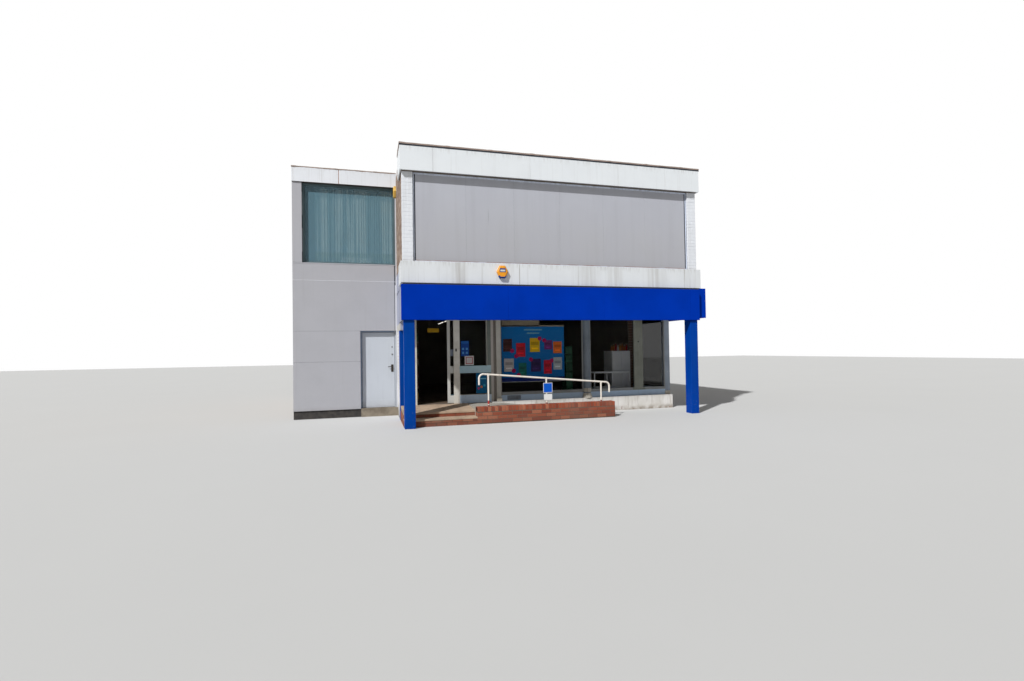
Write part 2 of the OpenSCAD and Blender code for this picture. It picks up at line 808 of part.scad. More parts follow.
// The steps run past the back of the left column to the building's left face
module entrance_steps() {
    color("tan") place() difference() {
        along_x(0, ramp_wall_x, [
            [nosing_lap, 0], [shop_setback, 0], [shop_setback, shop_floor_z],
            [tread_d, landing_front_z], [tread_d, landing_front_z - nosing_t],
            [tread_d + nosing_lap, landing_front_z - nosing_t],
            [tread_d + nosing_lap, step_h], [0, step_h], [0, step_h - nosing_t],
            [nosing_lap, step_h - nosing_t]
        ]);
        block([-fuse, -pier_proud, -fuse], [wall_t, column_back_y, shop_floor_z]);
    }
}

module entrance_ramp() {
    color("darkgray") place() {
        along_y(ramp_wall_t, plinth_front_y, [
            [ramp_wall_x, 0], [ramp_end_x, 0], [ramp_end_x, ramp_end_z],
            [ramp_level_end_x, ramp_top_z], [ramp_wall_x, ramp_top_z]
        ]);
        block([ramp_wall_x, plinth_front_y - fuse, 0],
              [screen_end_x, shop_setback, ramp_top_z]);
    }
}

module ramp_wall() {
    color("firebrick") place()
        block([ramp_wall_x, 0, 0], [ramp_end_x, ramp_wall_t, ramp_wall_h]);
}

// Height of the handrail's centre at x
function rail_height(x) = rail_z - (x - rail_first_x) * rail_fall / 1000;

// A bend and a straight drop at one end of the rail, towards side -1 or 1
module rail_hook(x, side) {
    z = rail_height(x) - rail_bend_r;
    translate([x, rail_y, z]) rotate([90, 0, 0]) rotate([0, 0, side > 0 ? 0 : 90])
        rotate_extrude(angle = 90) translate([rail_bend_r, 0]) circle(d = rail_d);
    translate([x, rail_y, rail_height(x)]) sphere(d = rail_joint_d);
    translate([x + side * rail_bend_r, rail_y, z]) sphere(d = rail_joint_d);
    translate([x + side * rail_bend_r, rail_y, z - rail_drop])
        cylinder(h = rail_drop, d = rail_d);
}

module ramp_handrail() {
    x0 = rail_first_x - rail_overrun;
    x1 = rail_last_x + rail_overrun;
    color("ivory") place() {
        translate([x0, rail_y, rail_height(x0)]) rotate([0, 90 + rail_slope, 0])
            cylinder(h = (x1 - x0) / cos(rail_slope), d = rail_d);
        for (k = [0, 1, 2]) {
            x = rail_first_x + k * rail_post_pitch;
            translate([x, rail_y, ramp_wall_h])
                cylinder(h = rail_height(x) - ramp_wall_h, d = rail_post_d);
        }
        rail_hook(x0, -1);
        rail_hook(x1, 1);
    }
}

module wing_side_wall() {
    color("rosybrown") place()
        block([-wing_w, wing_inner_y, 0], [wing_inner_x, main_d, wing_top_z]);
}

module wing_wall_beside_door() {
    color("lightgray") place() {
        block([-wing_w, wing_setback, wing_base_h], [wing_door_l, wing_inner_y, wing_door_top]);
        block([wing_door_r, wing_setback, wing_door_z], [0, wing_inner_y, wing_door_top]);
    }
}

module wing_wall_over_door() {
    color("lightgray") place() along_y(wing_setback, wing_inner_y, [
        [-wing_w, wing_door_top], [0, wing_door_top], [0, wing_fascia_z],
        [wing_window_r, wing_fascia_z], [wing_window_r, wing_sill_z],
        [wing_window_l, wing_sill_z], [wing_window_l, wing_fascia_z],
        [-wing_w, wing_fascia_z]
    ]);
}

module wing_fascia() {
    color("white") place()
        block([-wing_w, wing_fascia_y, wing_fascia_z], [0, wing_inner_y, wing_top_z]);
}

module wing_base() {
    color("dimgray") place() {
        block([-wing_w, wing_setback + wing_base_setback, 0],
              [wing_door_l + fuse, wing_inner_y, wing_base_h]);
        block([wing_door_l, wing_setback - threshold_proud, 0],
              [0, wing_inner_y, wing_door_z]);
    }
}

module wing_door_frame() {
    color("lightgray") place() {
        difference() {
            block([wing_door_l, door_frame_y, wing_door_z],
                  [wing_door_r, door_inner_y, wing_door_top]);
            block([wing_door_l + door_frame_w, door_frame_y - fuse, wing_door_z - fuse],
                  [wing_door_r - door_frame_w, door_inner_y + fuse, wing_door_top - door_frame_w]);
        }
        for (z = hinge_heights) {
            block([wing_door_l, door_inner_y - fuse, z],
                  [hinge_x - door_gap / 2, door_inner_y + hinge_plate_t, z + knuckle_h]);
            block([hinge_x - knuckle_r, door_inner_y + fuse, z],
                  [hinge_x, hinge_y, z + knuckle_h]);
            translate([hinge_x, hinge_y, z]) {
                cylinder(h = knuckle_h, r = knuckle_r);
                cylinder(h = 2 * knuckle_h, r = hinge_pin_r);
            }
        }
    }
}

module wing_door_leaf() {
    color("lightsteelblue") place() difference() {
        union() {
            block([door_leaf_x, door_leaf_y, door_leaf_z],
                  [door_leaf_x + door_leaf_w, door_inner_y, door_leaf_z + door_leaf_h]);
            for (z = hinge_heights) {
                z0 = z + knuckle_h + hinge_gap;
                block([hinge_x, door_inner_y + fuse, z0],
                      [hinge_x + knuckle_r, hinge_y, z0 + knuckle_h]);
                block([door_leaf_x, door_inner_y - fuse, z0],
                      [hinge_x + hinge_plate_l, door_inner_y + hinge_plate_t, z0 + knuckle_h]);
                translate([hinge_x, hinge_y, z0]) cylinder(h = knuckle_h, r = knuckle_r);
            }
        }
        for (z = hinge_heights) translate([hinge_x, hinge_y, z + knuckle_h - fuse])
            cylinder(h = knuckle_h + 3 * fuse, r = hinge_pin_r + hinge_gap);
    }
}

// Back plate and lever on one face of the door, standing off towards side -1 or 1
module door_lever(y, side) {
    plate_w = 40;
    plate_h = 170;
    plate_t = 8;
    grip_d = 18;
    z = wing_door_z + handle_z;
    y_plate = side > 0 ? y : y - plate_t;
    block([handle_x - plate_w / 2, y_plate, z - plate_h / 2],
          [handle_x + plate_w / 2, y_plate + plate_t, z + plate_h / 2]);
    translate([handle_x, side > 0 ? y : y - lever_off, z + plate_h / 4]) rotate([-90, 0, 0])
        cylinder(h = lever_off, d = grip_d);
    translate([handle_x - lever_l, y + side * lever_off, z + plate_h / 4]) rotate([0, 90, 0])
        cylinder(h = lever_l + grip_d / 2, d = grip_d);
}

module wing_door_handles() {
    lock_d = 34;
    lock_t = 12;
    color("darkgray") place() {
        door_lever(door_leaf_y, -1);
        door_lever(door_inner_y, 1);
        translate([handle_x, door_leaf_y, wing_door_z + lock_z]) rotate([90, 0, 0])
            cylinder(h = lock_t, d = lock_d);
    }
}

module window_frames() {
    color("gray") place() {
        frame_xz([wing_window_l, wing_window_y, wing_sill_z],
                 [wing_window_r, wing_window_back_y, wing_fascia_z], window_bar, window_bar);
        block([wing_window_l, wing_window_back_y - fuse, curtain_rail_z],
              [wing_window_r, curtain_y + curtain_rail_h / 2, curtain_rail_z + curtain_rail_h]);
        for (y = side_window_ys)
            frame_yz([side_frame_x, y, plain_window_z],
                     [side_frame_x + window_frame_d, y + plain_window_w,
                      plain_window_z + plain_window_h], window_bar);
        for (x = concat(rear_window_xs, [wing_rear_window_x]))
            frame_xz([x, rear_frame_y, plain_window_z],
                     [x + plain_window_w, rear_frame_y + window_frame_d,
                      plain_window_z + plain_window_h], window_bar, window_bar);
    }
}

module window_glass() {
    mid = (window_frame_d - pane_t) / 2;
    z0 = plain_window_z + window_bar;
    z1 = plain_window_z + plain_window_h - window_bar;
    color("lightblue", 0.4) place() {
        block([wing_window_l + window_bar, wing_window_y + mid, wing_sill_z + window_bar],
              [wing_window_r - window_bar, wing_window_y + mid + pane_t,
               wing_fascia_z - window_bar]);
        for (y = side_window_ys)
            block([side_frame_x + mid, y + window_bar, z0],
                  [side_frame_x + mid + pane_t, y + plain_window_w - window_bar, z1]);
        for (x = concat(rear_window_xs, [wing_rear_window_x]))
            block([x + window_bar, rear_frame_y + mid, z0],
                  [x + plain_window_w - window_bar, rear_frame_y + mid + pane_t, z1]);
    }
}

// Sideways place of the curtain's cloth at the fraction s of its width
function curtain_wave(s) = (curtain_fold - curtain_t) / 2 * sin(360 * curtain_folds * s);

module wing_curtain() {
    steps = 8 * curtain_folds;
    x0 = wing_window_l + curtain_side_gap;
    x1 = wing_window_r - curtain_side_gap;
    z0 = wing_sill_z + curtain_hem;
    front = [for (i = [0:steps])
             [x0 + (x1 - x0) * i / steps, curtain_y + curtain_wave(i / steps) - curtain_t / 2]];
    back = [for (i = [steps:-1:0])
            [x0 + (x1 - x0) * i / steps, curtain_y + curtain_wave(i / steps) + curtain_t / 2]];
    color("honeydew") place() translate([0, 0, z0])
        linear_extrude(curtain_rail_z - curtain_gap - z0) polygon(concat(front, back));
}

// Six-sided alarm box that stands off the XZ plane towards -Y
module alarm_box() {
    rotate([90, 0, 0]) linear_extrude(alarm_d) polygon([
        [-alarm_w / 2, 0], [-alarm_w / 4, -alarm_h / 2], [alarm_w / 4, -alarm_h / 2],
        [alarm_w / 2, 0], [alarm_w / 4, alarm_h / 2], [-alarm_w / 4, alarm_h / 2]
    ]);
}

module alarm_boxes() {
    color("goldenrod") place() {
        translate([alarm_x, fascia_y, mid_fascia_top_z - mid_fascia_h / 2 + alarm_d / 2])
            alarm_box();
        translate([0, wing_fascia_y - alarm_side_gap - alarm_w / 2, alarm_side_z])
            rotate([0, 0, -90]) alarm_box();
    }
}

module display_banner() {
    x = pane_a_x + display_gap;
    mid_y = frame_back_y + display_box_d / 2;
    color("dodgerblue") place() {
        block([x, frame_back_y, display_top_z],
              [x + display_box_w, frame_back_y + display_box_d, soffit_z]);
        block([x, frame_back_y, display_top_z],
              [x + display_w, frame_back_y + display_box_d, display_top_z + display_rail_h]);
        block([x, mid_y - display_t / 2, display_top_z - display_h],
              [x + display_w, mid_y + display_t / 2, display_top_z + fuse]);
    }
}

floor_slabs();
roof_slabs();
roof_copings();
left_blue_pier();
left_side_wall();
right_side_wall();
rear_walls();
front_upper_wall();
front_upper_piers();
front_grey_panel();
top_fascia();
mid_fascia();
canopy_beam();
canopy_soffit();
canopy_left_cheek();
shop_sign_front();
shop_sign_side();
shopfront_bulkhead();
shopfront_frame();
shopfront_posts();
fixed_side_screen();
shop_glass();
window_riser_panel();
shop_plinth();
sliding_door_track();
sliding_door_leaf();
sliding_door_glass();
corner_column();
entrance_steps();
entrance_ramp();
ramp_wall();
ramp_handrail();
wing_side_wall();
wing_wall_beside_door();
wing_wall_over_door();
wing_fascia();
wing_base();
wing_door_frame();
wing_door_leaf();
wing_door_handles();
window_frames();
window_glass();
wing_curtain();
alarm_boxes();
display_banner();
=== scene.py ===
"""Looks of the corner shop building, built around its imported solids.

Lengths are in metres. Places are written in the layout frame: X runs to the right along the
street front, Y into the building and Z up, from the front left corner of the main block's piers.
"""

import math
import random
from itertools import product

import bmesh
import bpy
from mathutils import Matrix, Vector, noise


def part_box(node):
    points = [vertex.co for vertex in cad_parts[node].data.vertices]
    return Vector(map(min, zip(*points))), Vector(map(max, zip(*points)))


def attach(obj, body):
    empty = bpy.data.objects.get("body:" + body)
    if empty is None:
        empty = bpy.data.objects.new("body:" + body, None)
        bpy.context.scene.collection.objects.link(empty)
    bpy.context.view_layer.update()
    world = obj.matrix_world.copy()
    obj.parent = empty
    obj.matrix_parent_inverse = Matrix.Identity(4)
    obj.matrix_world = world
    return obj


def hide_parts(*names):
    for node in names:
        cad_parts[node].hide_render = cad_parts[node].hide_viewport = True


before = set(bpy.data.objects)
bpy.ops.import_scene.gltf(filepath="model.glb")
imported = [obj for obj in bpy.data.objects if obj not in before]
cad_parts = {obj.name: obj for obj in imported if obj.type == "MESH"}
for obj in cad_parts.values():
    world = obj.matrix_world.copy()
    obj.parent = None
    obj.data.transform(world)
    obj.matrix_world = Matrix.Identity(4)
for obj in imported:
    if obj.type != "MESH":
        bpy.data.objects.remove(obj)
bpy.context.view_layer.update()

CORNER = Vector((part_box("left_side_wall")[0].x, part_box("front_upper_piers")[0].y, 0.0))


def corners(node):
    """Lowest and highest corner of a solid, in the layout frame."""
    low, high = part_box(node)
    return low - CORNER, high - CORNER


# Driving places, read from the solids
MAIN_W, MAIN_D, MAIN_TOP = corners("right_side_wall")[1]
WALL_T = corners("left_side_wall")[1].x
WING_W = -corners("wing_side_wall")[0].x
WING_TOP = corners("wing_side_wall")[1].z
WING_FRONT = corners("wing_wall_over_door")[0].y
WING_INNER_Y = corners("wing_side_wall")[0].y
UPPER_FLOOR = corners("mid_fascia")[0].z
SOFFIT = corners("canopy_soffit")[0].z
GLAZING = corners("shopfront_frame")[0].y
GLASS_Y = corners("shop_glass")[0].y
SCREEN_LOW, SCREEN_HIGH = corners("fixed_side_screen")
SHOP_FLOOR = SCREEN_LOW.z
PIER_D = corners("front_upper_piers")[1].y
COLUMN_BACK = corners("left_blue_pier")[1].y
CHEEK_Z = corners("left_blue_pier")[1].z
CHEEK_LOW_Z = corners("canopy_left_cheek")[0].z
RETURN_END = corners("window_riser_panel")[1].y

# Camera of the photo: place, lens in mm, and its yaw, pitch and roll
CAMERA_PLACE = (-0.729, -11.544, 1.699)
CAMERA_LENS = 18.06
CAMERA_TURN = (15.549, 0.983, -0.872)

# Light: the sun stands left of the front and high; the world fills the shadows
SUN_ENERGY = 3.9
SUN_SIDE = 50
SUN_HEIGHT = 42
SUN_SIZE = 1.8
WORLD_LIGHT = 0.2

# Brick sizes: one course is 82.5 mm with its joint; faces stand PROUD of the mortar
BRICK_L = 0.228
BRICK_H = 0.0725
JOINT = 0.010
COURSE = BRICK_H + JOINT
MODULE = BRICK_L + JOINT
PROUD = 0.004


def srgb(red, green, blue):
    """Linear colour of a colour that is written as values from 0 to 255."""
    def linear(value):
        value /= 255
        return value / 12.92 if value <= 0.04045 else ((value + 0.055) / 1.055) ** 2.4
    return (linear(red), linear(green), linear(blue), 1.0)


def linear_colour(colour):
    """The colour itself if it has four values, or else what its values from 0 to 255 stand for."""
    return srgb(*colour) if len(colour) == 3 else colour


class Graph:
    """A material, with short calls for the nodes that the finishes share."""

    def __init__(self, name, roughness=0.6, metallic=0.0):
        self.material = bpy.data.materials.new(name)
        self.material.use_nodes = True
        self.tree = self.material.node_tree
        self.shader = self.tree.nodes["Principled BSDF"]
        self.set("Roughness", roughness)
        self.set("Metallic", metallic)
        place = self.tree.nodes.new("ShaderNodeTexCoord").outputs["Object"]
        shift = self.node("ShaderNodeVectorMath", {0: place, 1: CORNER}, operation="SUBTRACT")
        self.place = shift.outputs[0]
        self.x, self.y, self.z = self.node("ShaderNodeSeparateXYZ", {0: self.place}).outputs
        self.normal = None

    def put(self, socket, value):
        if isinstance(value, bpy.types.NodeSocket):
            self.tree.links.new(value, socket)
        else:
            socket.default_value = value

    def node(self, kind, inputs, **settings):
        made = self.tree.nodes.new(kind)
        for name, value in settings.items():
            setattr(made, name, value)
        for key, value in inputs.items():
            self.put(made.inputs[key], value)
        return made

    def set(self, name, value):
        self.put(self.shader.inputs[name], value)

    def stretched(self, x, y, z):
        return self.node("ShaderNodeMapping", {"Vector": self.place, "Scale": (x, y, z)}).outputs[0]

    def noise(self, scale, detail=3.0, roughness=0.55, along=None):
        return self.node("ShaderNodeTexNoise", {
            "Vector": along or self.place, "Scale": scale, "Detail": detail,
            "Roughness": roughness}).outputs["Fac"]

    def runs(self, fineness=14.0, length=0.5):
        """Noise that is drawn out downwards, as rain leaves it."""
        return self.noise(1.0, 4.0, 0.6, self.stretched(fineness, fineness, length))

    def span(self, value, start, end, low=0.0, high=1.0):
        """Smooth step of a value from start to end."""
        return self.node("ShaderNodeMapRange", {
            0: value, 1: start, 2: end, 3: low, 4: high},
            interpolation_type="SMOOTHSTEP").outputs[0]

    def maths(self, operation, a, b=0.5):
        return self.node("ShaderNodeMath", {0: a, 1: b}, operation=operation).outputs[0]

    def times(self, a, b):
        return self.maths("MULTIPLY", a, b)

    def most(self, a, b):
        return self.maths("MAXIMUM", a, b)

    def band(self, value, centre, half_width):
        """One at the centre and none past the half width."""
        off = self.maths("ABSOLUTE", self.maths("SUBTRACT", value, centre))
        return self.span(off, half_width, 0.0)

    def mix(self, factor, a, b):
        """Mix of two colours: sockets, linear colours or three values from 0 to 255."""
        a, b = (linear_colour(c) if isinstance(c, tuple) else c for c in (a, b))
        return self.node("ShaderNodeMix", {0: factor, 6: a, 7: b}, data_type="RGBA").outputs[2]

    def cloud(self, scale, detail, start, end, first, second):
        """Two colours that change places in the soft patches of a noise."""
        return self.mix(self.span(self.noise(scale, detail), start, end), first, second)

    def tone(self):
        return self.node("ShaderNodeAttribute", {}, attribute_name="tone").outputs["Fac"]

    def bump(self, height, distance):
        inputs = {"Height": height, "Distance": distance}
        if self.normal is not None:
            inputs["Normal"] = self.normal
        self.normal = self.node("ShaderNodeBump", inputs).outputs[0]
        self.set("Normal", self.normal)

    def finish(self, colour, roughness=None):
        self.set("Base Color", colour)
        if roughness is not None:
            self.set("Roughness", roughness)
        return self.material


def shade(colour, factor):
    """A linear colour, darker or lighter by a factor."""
    return tuple(channel * factor for channel in colour[:3]) + (1.0,)


def paint(name, colour, soil=(96, 88, 74), streaks=0.35, patch=0.12, roughness=0.45, grain=260.0,
          ground=0.0, splash=1.0, stains=(), top=None, edge=0.55):
    """Painted board or metal, with soft patches, rain streaks and soil near the ground.

    stains are (place in X, half width, strength) of strong runs; top is the edge they start from.
    """
    g = Graph(name)
    base = srgb(*colour)
    dirt = srgb(*soil)
    soft = g.noise(1.3, 5.0, 0.6)
    tinted = g.mix(g.span(soft, 0.35, 0.7), base, shade(base, 1.0 - patch))
    thin = g.span(g.runs(), 0.52, 0.8)
    mask = g.times(thin, streaks)
    for centre, half_width, strength in stains:
        fine = g.runs(40.0, 0.8) if half_width < 0.1 else g.runs(9.0, 0.3)
        column = g.times(g.band(g.x, centre, half_width), g.span(fine, 0.3, 0.65))
        mask = g.most(mask, g.times(column, strength))
    if top is not None:
        rim = g.times(g.span(g.z, top - 0.16, top), g.span(g.runs(22.0, 3.0), 0.45, 0.62))
        mask = g.most(mask, g.times(rim, edge))
    if ground:
        foot = g.times(g.span(g.z, ground, 0.0), g.span(g.noise(7.0, 6.0), 0.2, 0.75, 0.35, 1.0))
        mask = g.most(mask, g.times(foot, splash))
    specks = g.span(g.noise(38.0, 2.0), 0.72, 0.78)
    mask = g.most(mask, g.times(specks, 0.35 * min(1.0, streaks * 2)))
    g.bump(g.noise(grain, 2.0), 0.0006)
    rough = g.span(soft, 0.3, 0.7, roughness - 0.06, roughness + 0.1)
    return g.finish(g.mix(mask, tinted, dirt), rough)


def brick_finish(name, colours, soil=0.5):
    """Brick faces: each brick has its own tone, with fine pits."""
    g = Graph(name)
    g.set("Specular IOR Level", 0.15)
    first, second, third = (srgb(*c) for c in colours)
    tone = g.tone()
    mixed = g.mix(g.span(tone, 0.0, 0.55), first, second)
    mixed = g.mix(g.span(tone, 0.55, 1.0), mixed, third)
    speck = g.noise(95.0, 5.0, 0.65)
    mixed = g.mix(g.span(speck, 0.5, 0.72, 0.0, 0.55), mixed, shade(first, 0.42))
    cloud = g.span(g.noise(2.1, 4.0), 0.42, 0.75, 0.0, 0.32)
    mixed = g.mix(cloud, mixed, (120, 112, 100))
    foot = g.times(g.span(g.z, 0.45, 0.02), soil)
    mixed = g.mix(foot, mixed, (88, 82, 72))
    g.bump(g.noise(60.0, 6.0, 0.7), 0.003)
    g.bump(g.noise(420.0, 2.0), 0.0008)
    return g.finish(mixed, g.span(speck, 0.3, 0.7, 0.77, 0.95))


def wall_core(name):
    """Mortar on the outer faces of the walls, brick courses in the reveals, plaster inside."""
    g = Graph(name, 0.9)
    mortar = g.cloud(45.0, 4.0, 0.35, 0.7, (196, 185, 171), (166, 155, 141))
    course = g.maths("FRACT", g.maths("DIVIDE", g.z, COURSE))
    bed = g.span(course, 1.0 - JOINT / COURSE - 0.02, 1.0 - JOINT / COURSE)
    clay = g.mix(g.noise(11.0, 2.0), (150, 118, 100), (122, 92, 78))
    reveal = g.mix(bed, clay, mortar)
    # The plaster inside is darkened as painted shade of the dim rooms.
    plaster = g.cloud(1.1, 4.0, 0.3, 0.75, (126, 118, 106), (106, 98, 88))
    left_face = g.times(g.maths("LESS_THAN", g.maths("ABSOLUTE", g.x), 0.02),
                        g.maths("LESS_THAN", g.y, WING_INNER_Y))
    depth = g.maths("SUBTRACT", MAIN_W, g.x)
    for other in (g.maths("SUBTRACT", MAIN_D, g.y), g.maths("ADD", g.x, WING_W)):
        depth = g.maths("MINIMUM", depth, other)
    outer = g.maths("MAXIMUM", g.maths("LESS_THAN", depth, 0.004), left_face)
    in_reveal = g.maths("LESS_THAN", depth, WALL_T - 0.03)
    g.bump(g.noise(160.0, 4.0), 0.0015)
    return g.finish(g.mix(outer, g.mix(in_reveal, plaster, reveal), mortar))


def felt(name, colour, groove=None):
    """Mineral roofing felt: sparkling grains, puddle stains and some moss.

    groove is the height under which the front edge is painted dark as painted shade in its recess,
    and how far back that goes.
    """
    g = Graph(name, 0.9)
    base = srgb(*colour)
    grains = g.noise(700.0, 2.0, 0.7)
    mixed = g.mix(g.span(grains, 0.35, 0.7), shade(base, 0.72), shade(base, 1.25))
    worn = g.mix(g.span(g.noise(1.7, 6.0, 0.65), 0.4, 0.66), mixed, shade(base, 0.66))
    worn = g.mix(g.times(g.tone(), 0.4), worn, shade(base, 1.4))
    growth = g.times(g.span(g.noise(5.0, 6.0, 0.7), 0.6, 0.72), 0.3)
    g.bump(grains, 0.0014)
    g.bump(g.noise(24.0, 4.0), 0.004)
    colour = g.mix(growth, worn, (92, 98, 58))
    if groove:
        # The recessed strip under the front edge is painted dark as painted shade.
        dark = g.times(g.maths("LESS_THAN", g.z, groove[0]), g.maths("LESS_THAN", g.y, groove[1]))
        colour = g.mix(dark, colour, (52, 58, 68))
    return g.finish(colour)


def concrete(name, colour, ground=0.0):
    """Cast concrete with pits, damp clouds and soil."""
    g = Graph(name, 0.85)
    base = srgb(*colour)
    cloud = g.mix(g.span(g.noise(2.6, 6.0, 0.65), 0.35, 0.7), base, shade(base, 0.72))
    pits = g.span(g.noise(130.0, 3.0), 0.62, 0.7)
    mixed = g.mix(g.times(pits, 0.6), cloud, shade(base, 0.45))
    runs = g.times(g.span(g.runs(9.0, 0.9), 0.5, 0.75), 0.3)
    mixed = g.mix(runs, mixed, (84, 78, 66))
    if ground:
        mixed = g.mix(g.times(g.span(g.z, ground, 0.0), 0.7), mixed, (70, 66, 56))
    g.bump(g.noise(85.0, 6.0, 0.7), 0.002)
    return g.finish(mixed, g.span(cloud, 0.1, 0.6, 0.95, 0.75))


def clear_glass(name, tint, alpha, ior, side_alpha=None):
    """Window glass that lets most light through and mirrors a little of it, with faint dust.

    side_alpha is the higher alpha of the pane that faces the side, which lets less light through.
    """
    g = Graph(name)
    dust = g.span(g.noise(3.0, 6.0, 0.7), 0.5, 0.8)
    side_pane = g.maths("GREATER_THAN", g.x, MAIN_W - 0.1)
    g.set("Alpha", alpha if side_alpha is None else g.span(side_pane, 0.0, 1.0, alpha, side_alpha))
    g.set("IOR", ior)
    return g.finish(g.mix(g.times(dust, 0.25), srgb(*tint), (110, 116, 112)),
                    g.span(dust, 0.0, 1.0, 0.02, 0.07))


def metal(name, colour, roughness):
    """Brushed or dulled metal."""
    g = Graph(name, roughness, 1.0)
    base = srgb(*colour)
    brushed = g.noise(1.0, 4.0, 0.6, g.stretched(30.0, 30.0, 420.0))
    mixed = g.mix(g.span(brushed, 0.3, 0.7), base, shade(base, 0.74))
    g.bump(brushed, 0.0003)
    return g.finish(mixed, g.span(g.noise(16.0, 5.0), 0.3, 0.7, roughness - 0.1, roughness + 0.18))


def plastic(name, colour, roughness=0.4):
    """Moulded plastic that has faded a little."""
    g = Graph(name, roughness)
    base = srgb(*colour)
    mixed = g.mix(g.span(g.noise(9.0, 5.0), 0.35, 0.7), base, shade(base, 0.85))
    mixed = g.mix(g.times(g.span(g.noise(60.0, 3.0), 0.66, 0.74), 0.3), mixed, (70, 66, 60))
    g.bump(g.noise(600.0, 2.0), 0.0003)
    return g.finish(mixed, g.span(g.noise(30.0, 3.0), 0.3, 0.7, roughness - 0.05, roughness + 0.12))


def printed(name):
    """Printed card or film whose colour is held by the faces, with a faint paper grain."""
    g = Graph(name, 0.5)
    g.set("Specular IOR Level", 0.1)
    ink = g.node("ShaderNodeAttribute", {}, attribute_name="ink").outputs["Color"]
    grain = g.span(g.noise(320.0, 2.0), 0.3, 0.7, 0.0, 0.1)
    g.bump(g.noise(90.0, 2.0), 0.0003)
    return g.finish(g.mix(grain, ink, (60, 60, 66)), g.span(grain, 0.0, 0.1, 0.4, 0.6))


def net_finish(name):
    """Net curtain: a thin woven cloth with lighter threads, with painted light and shade in its
    folds and a painted reflection low down.
    """
    g = Graph(name, 0.9)
    weave = g.node("ShaderNodeTexVoronoi", {"Vector": g.stretched(1.0, 1.0, 1.0), "Scale": 260.0})
    thread = g.span(weave.outputs["Distance"], 0.1, 0.6)
    # Lighter and darker vertical bands: partly denser cloth where it is gathered, partly painted
    # light on the crests and painted shade in the folds.
    gathered = g.span(g.noise(1.0, 3.0, 0.5, g.stretched(7.0, 1.0, 0.15)), 0.46, 0.6)
    cloth = g.mix(gathered, g.mix(thread, (136, 164, 166), (112, 138, 142)),
                  g.mix(thread, (246, 252, 244), (214, 226, 218)))
    # The greenish band low on the net is a painted reflection.
    painted_reflection = g.mix(gathered, (98, 112, 92), (170, 184, 150))
    cloth = g.mix(g.span(g.z, SILL_Z + 0.36, SILL_Z + 0.3, 0.0, 0.85), cloth, painted_reflection)
    hem_z = corners("wing_curtain")[0].z
    hem = g.span(g.z, hem_z + 0.07, hem_z + 0.06)
    cloth = g.mix(g.times(hem, 0.35), cloth, (120, 146, 138))
    soft = g.mix(g.span(g.noise(2.0, 4.0), 0.3, 0.75, 0.0, 0.3), cloth, (120, 150, 146))
    g.set("Alpha", g.span(thread, 0.0, 1.0, 0.92, 0.7))
    g.bump(weave.outputs["Distance"], 0.0004)
    return g.finish(soft)


def bridge(rings, count):
    """Faces between rings of count points each, one ring after the other."""
    return [(k * count + i, k * count + (i + 1) % count,
             (k + 1) * count + (i + 1) % count, (k + 1) * count + i)
            for k in range(rings - 1) for i in range(count)]


def caps(rings, count):
    """The first and the last ring as faces."""
    last = (rings - 1) * count
    return [tuple(range(count)), tuple(range(last, last + count))]


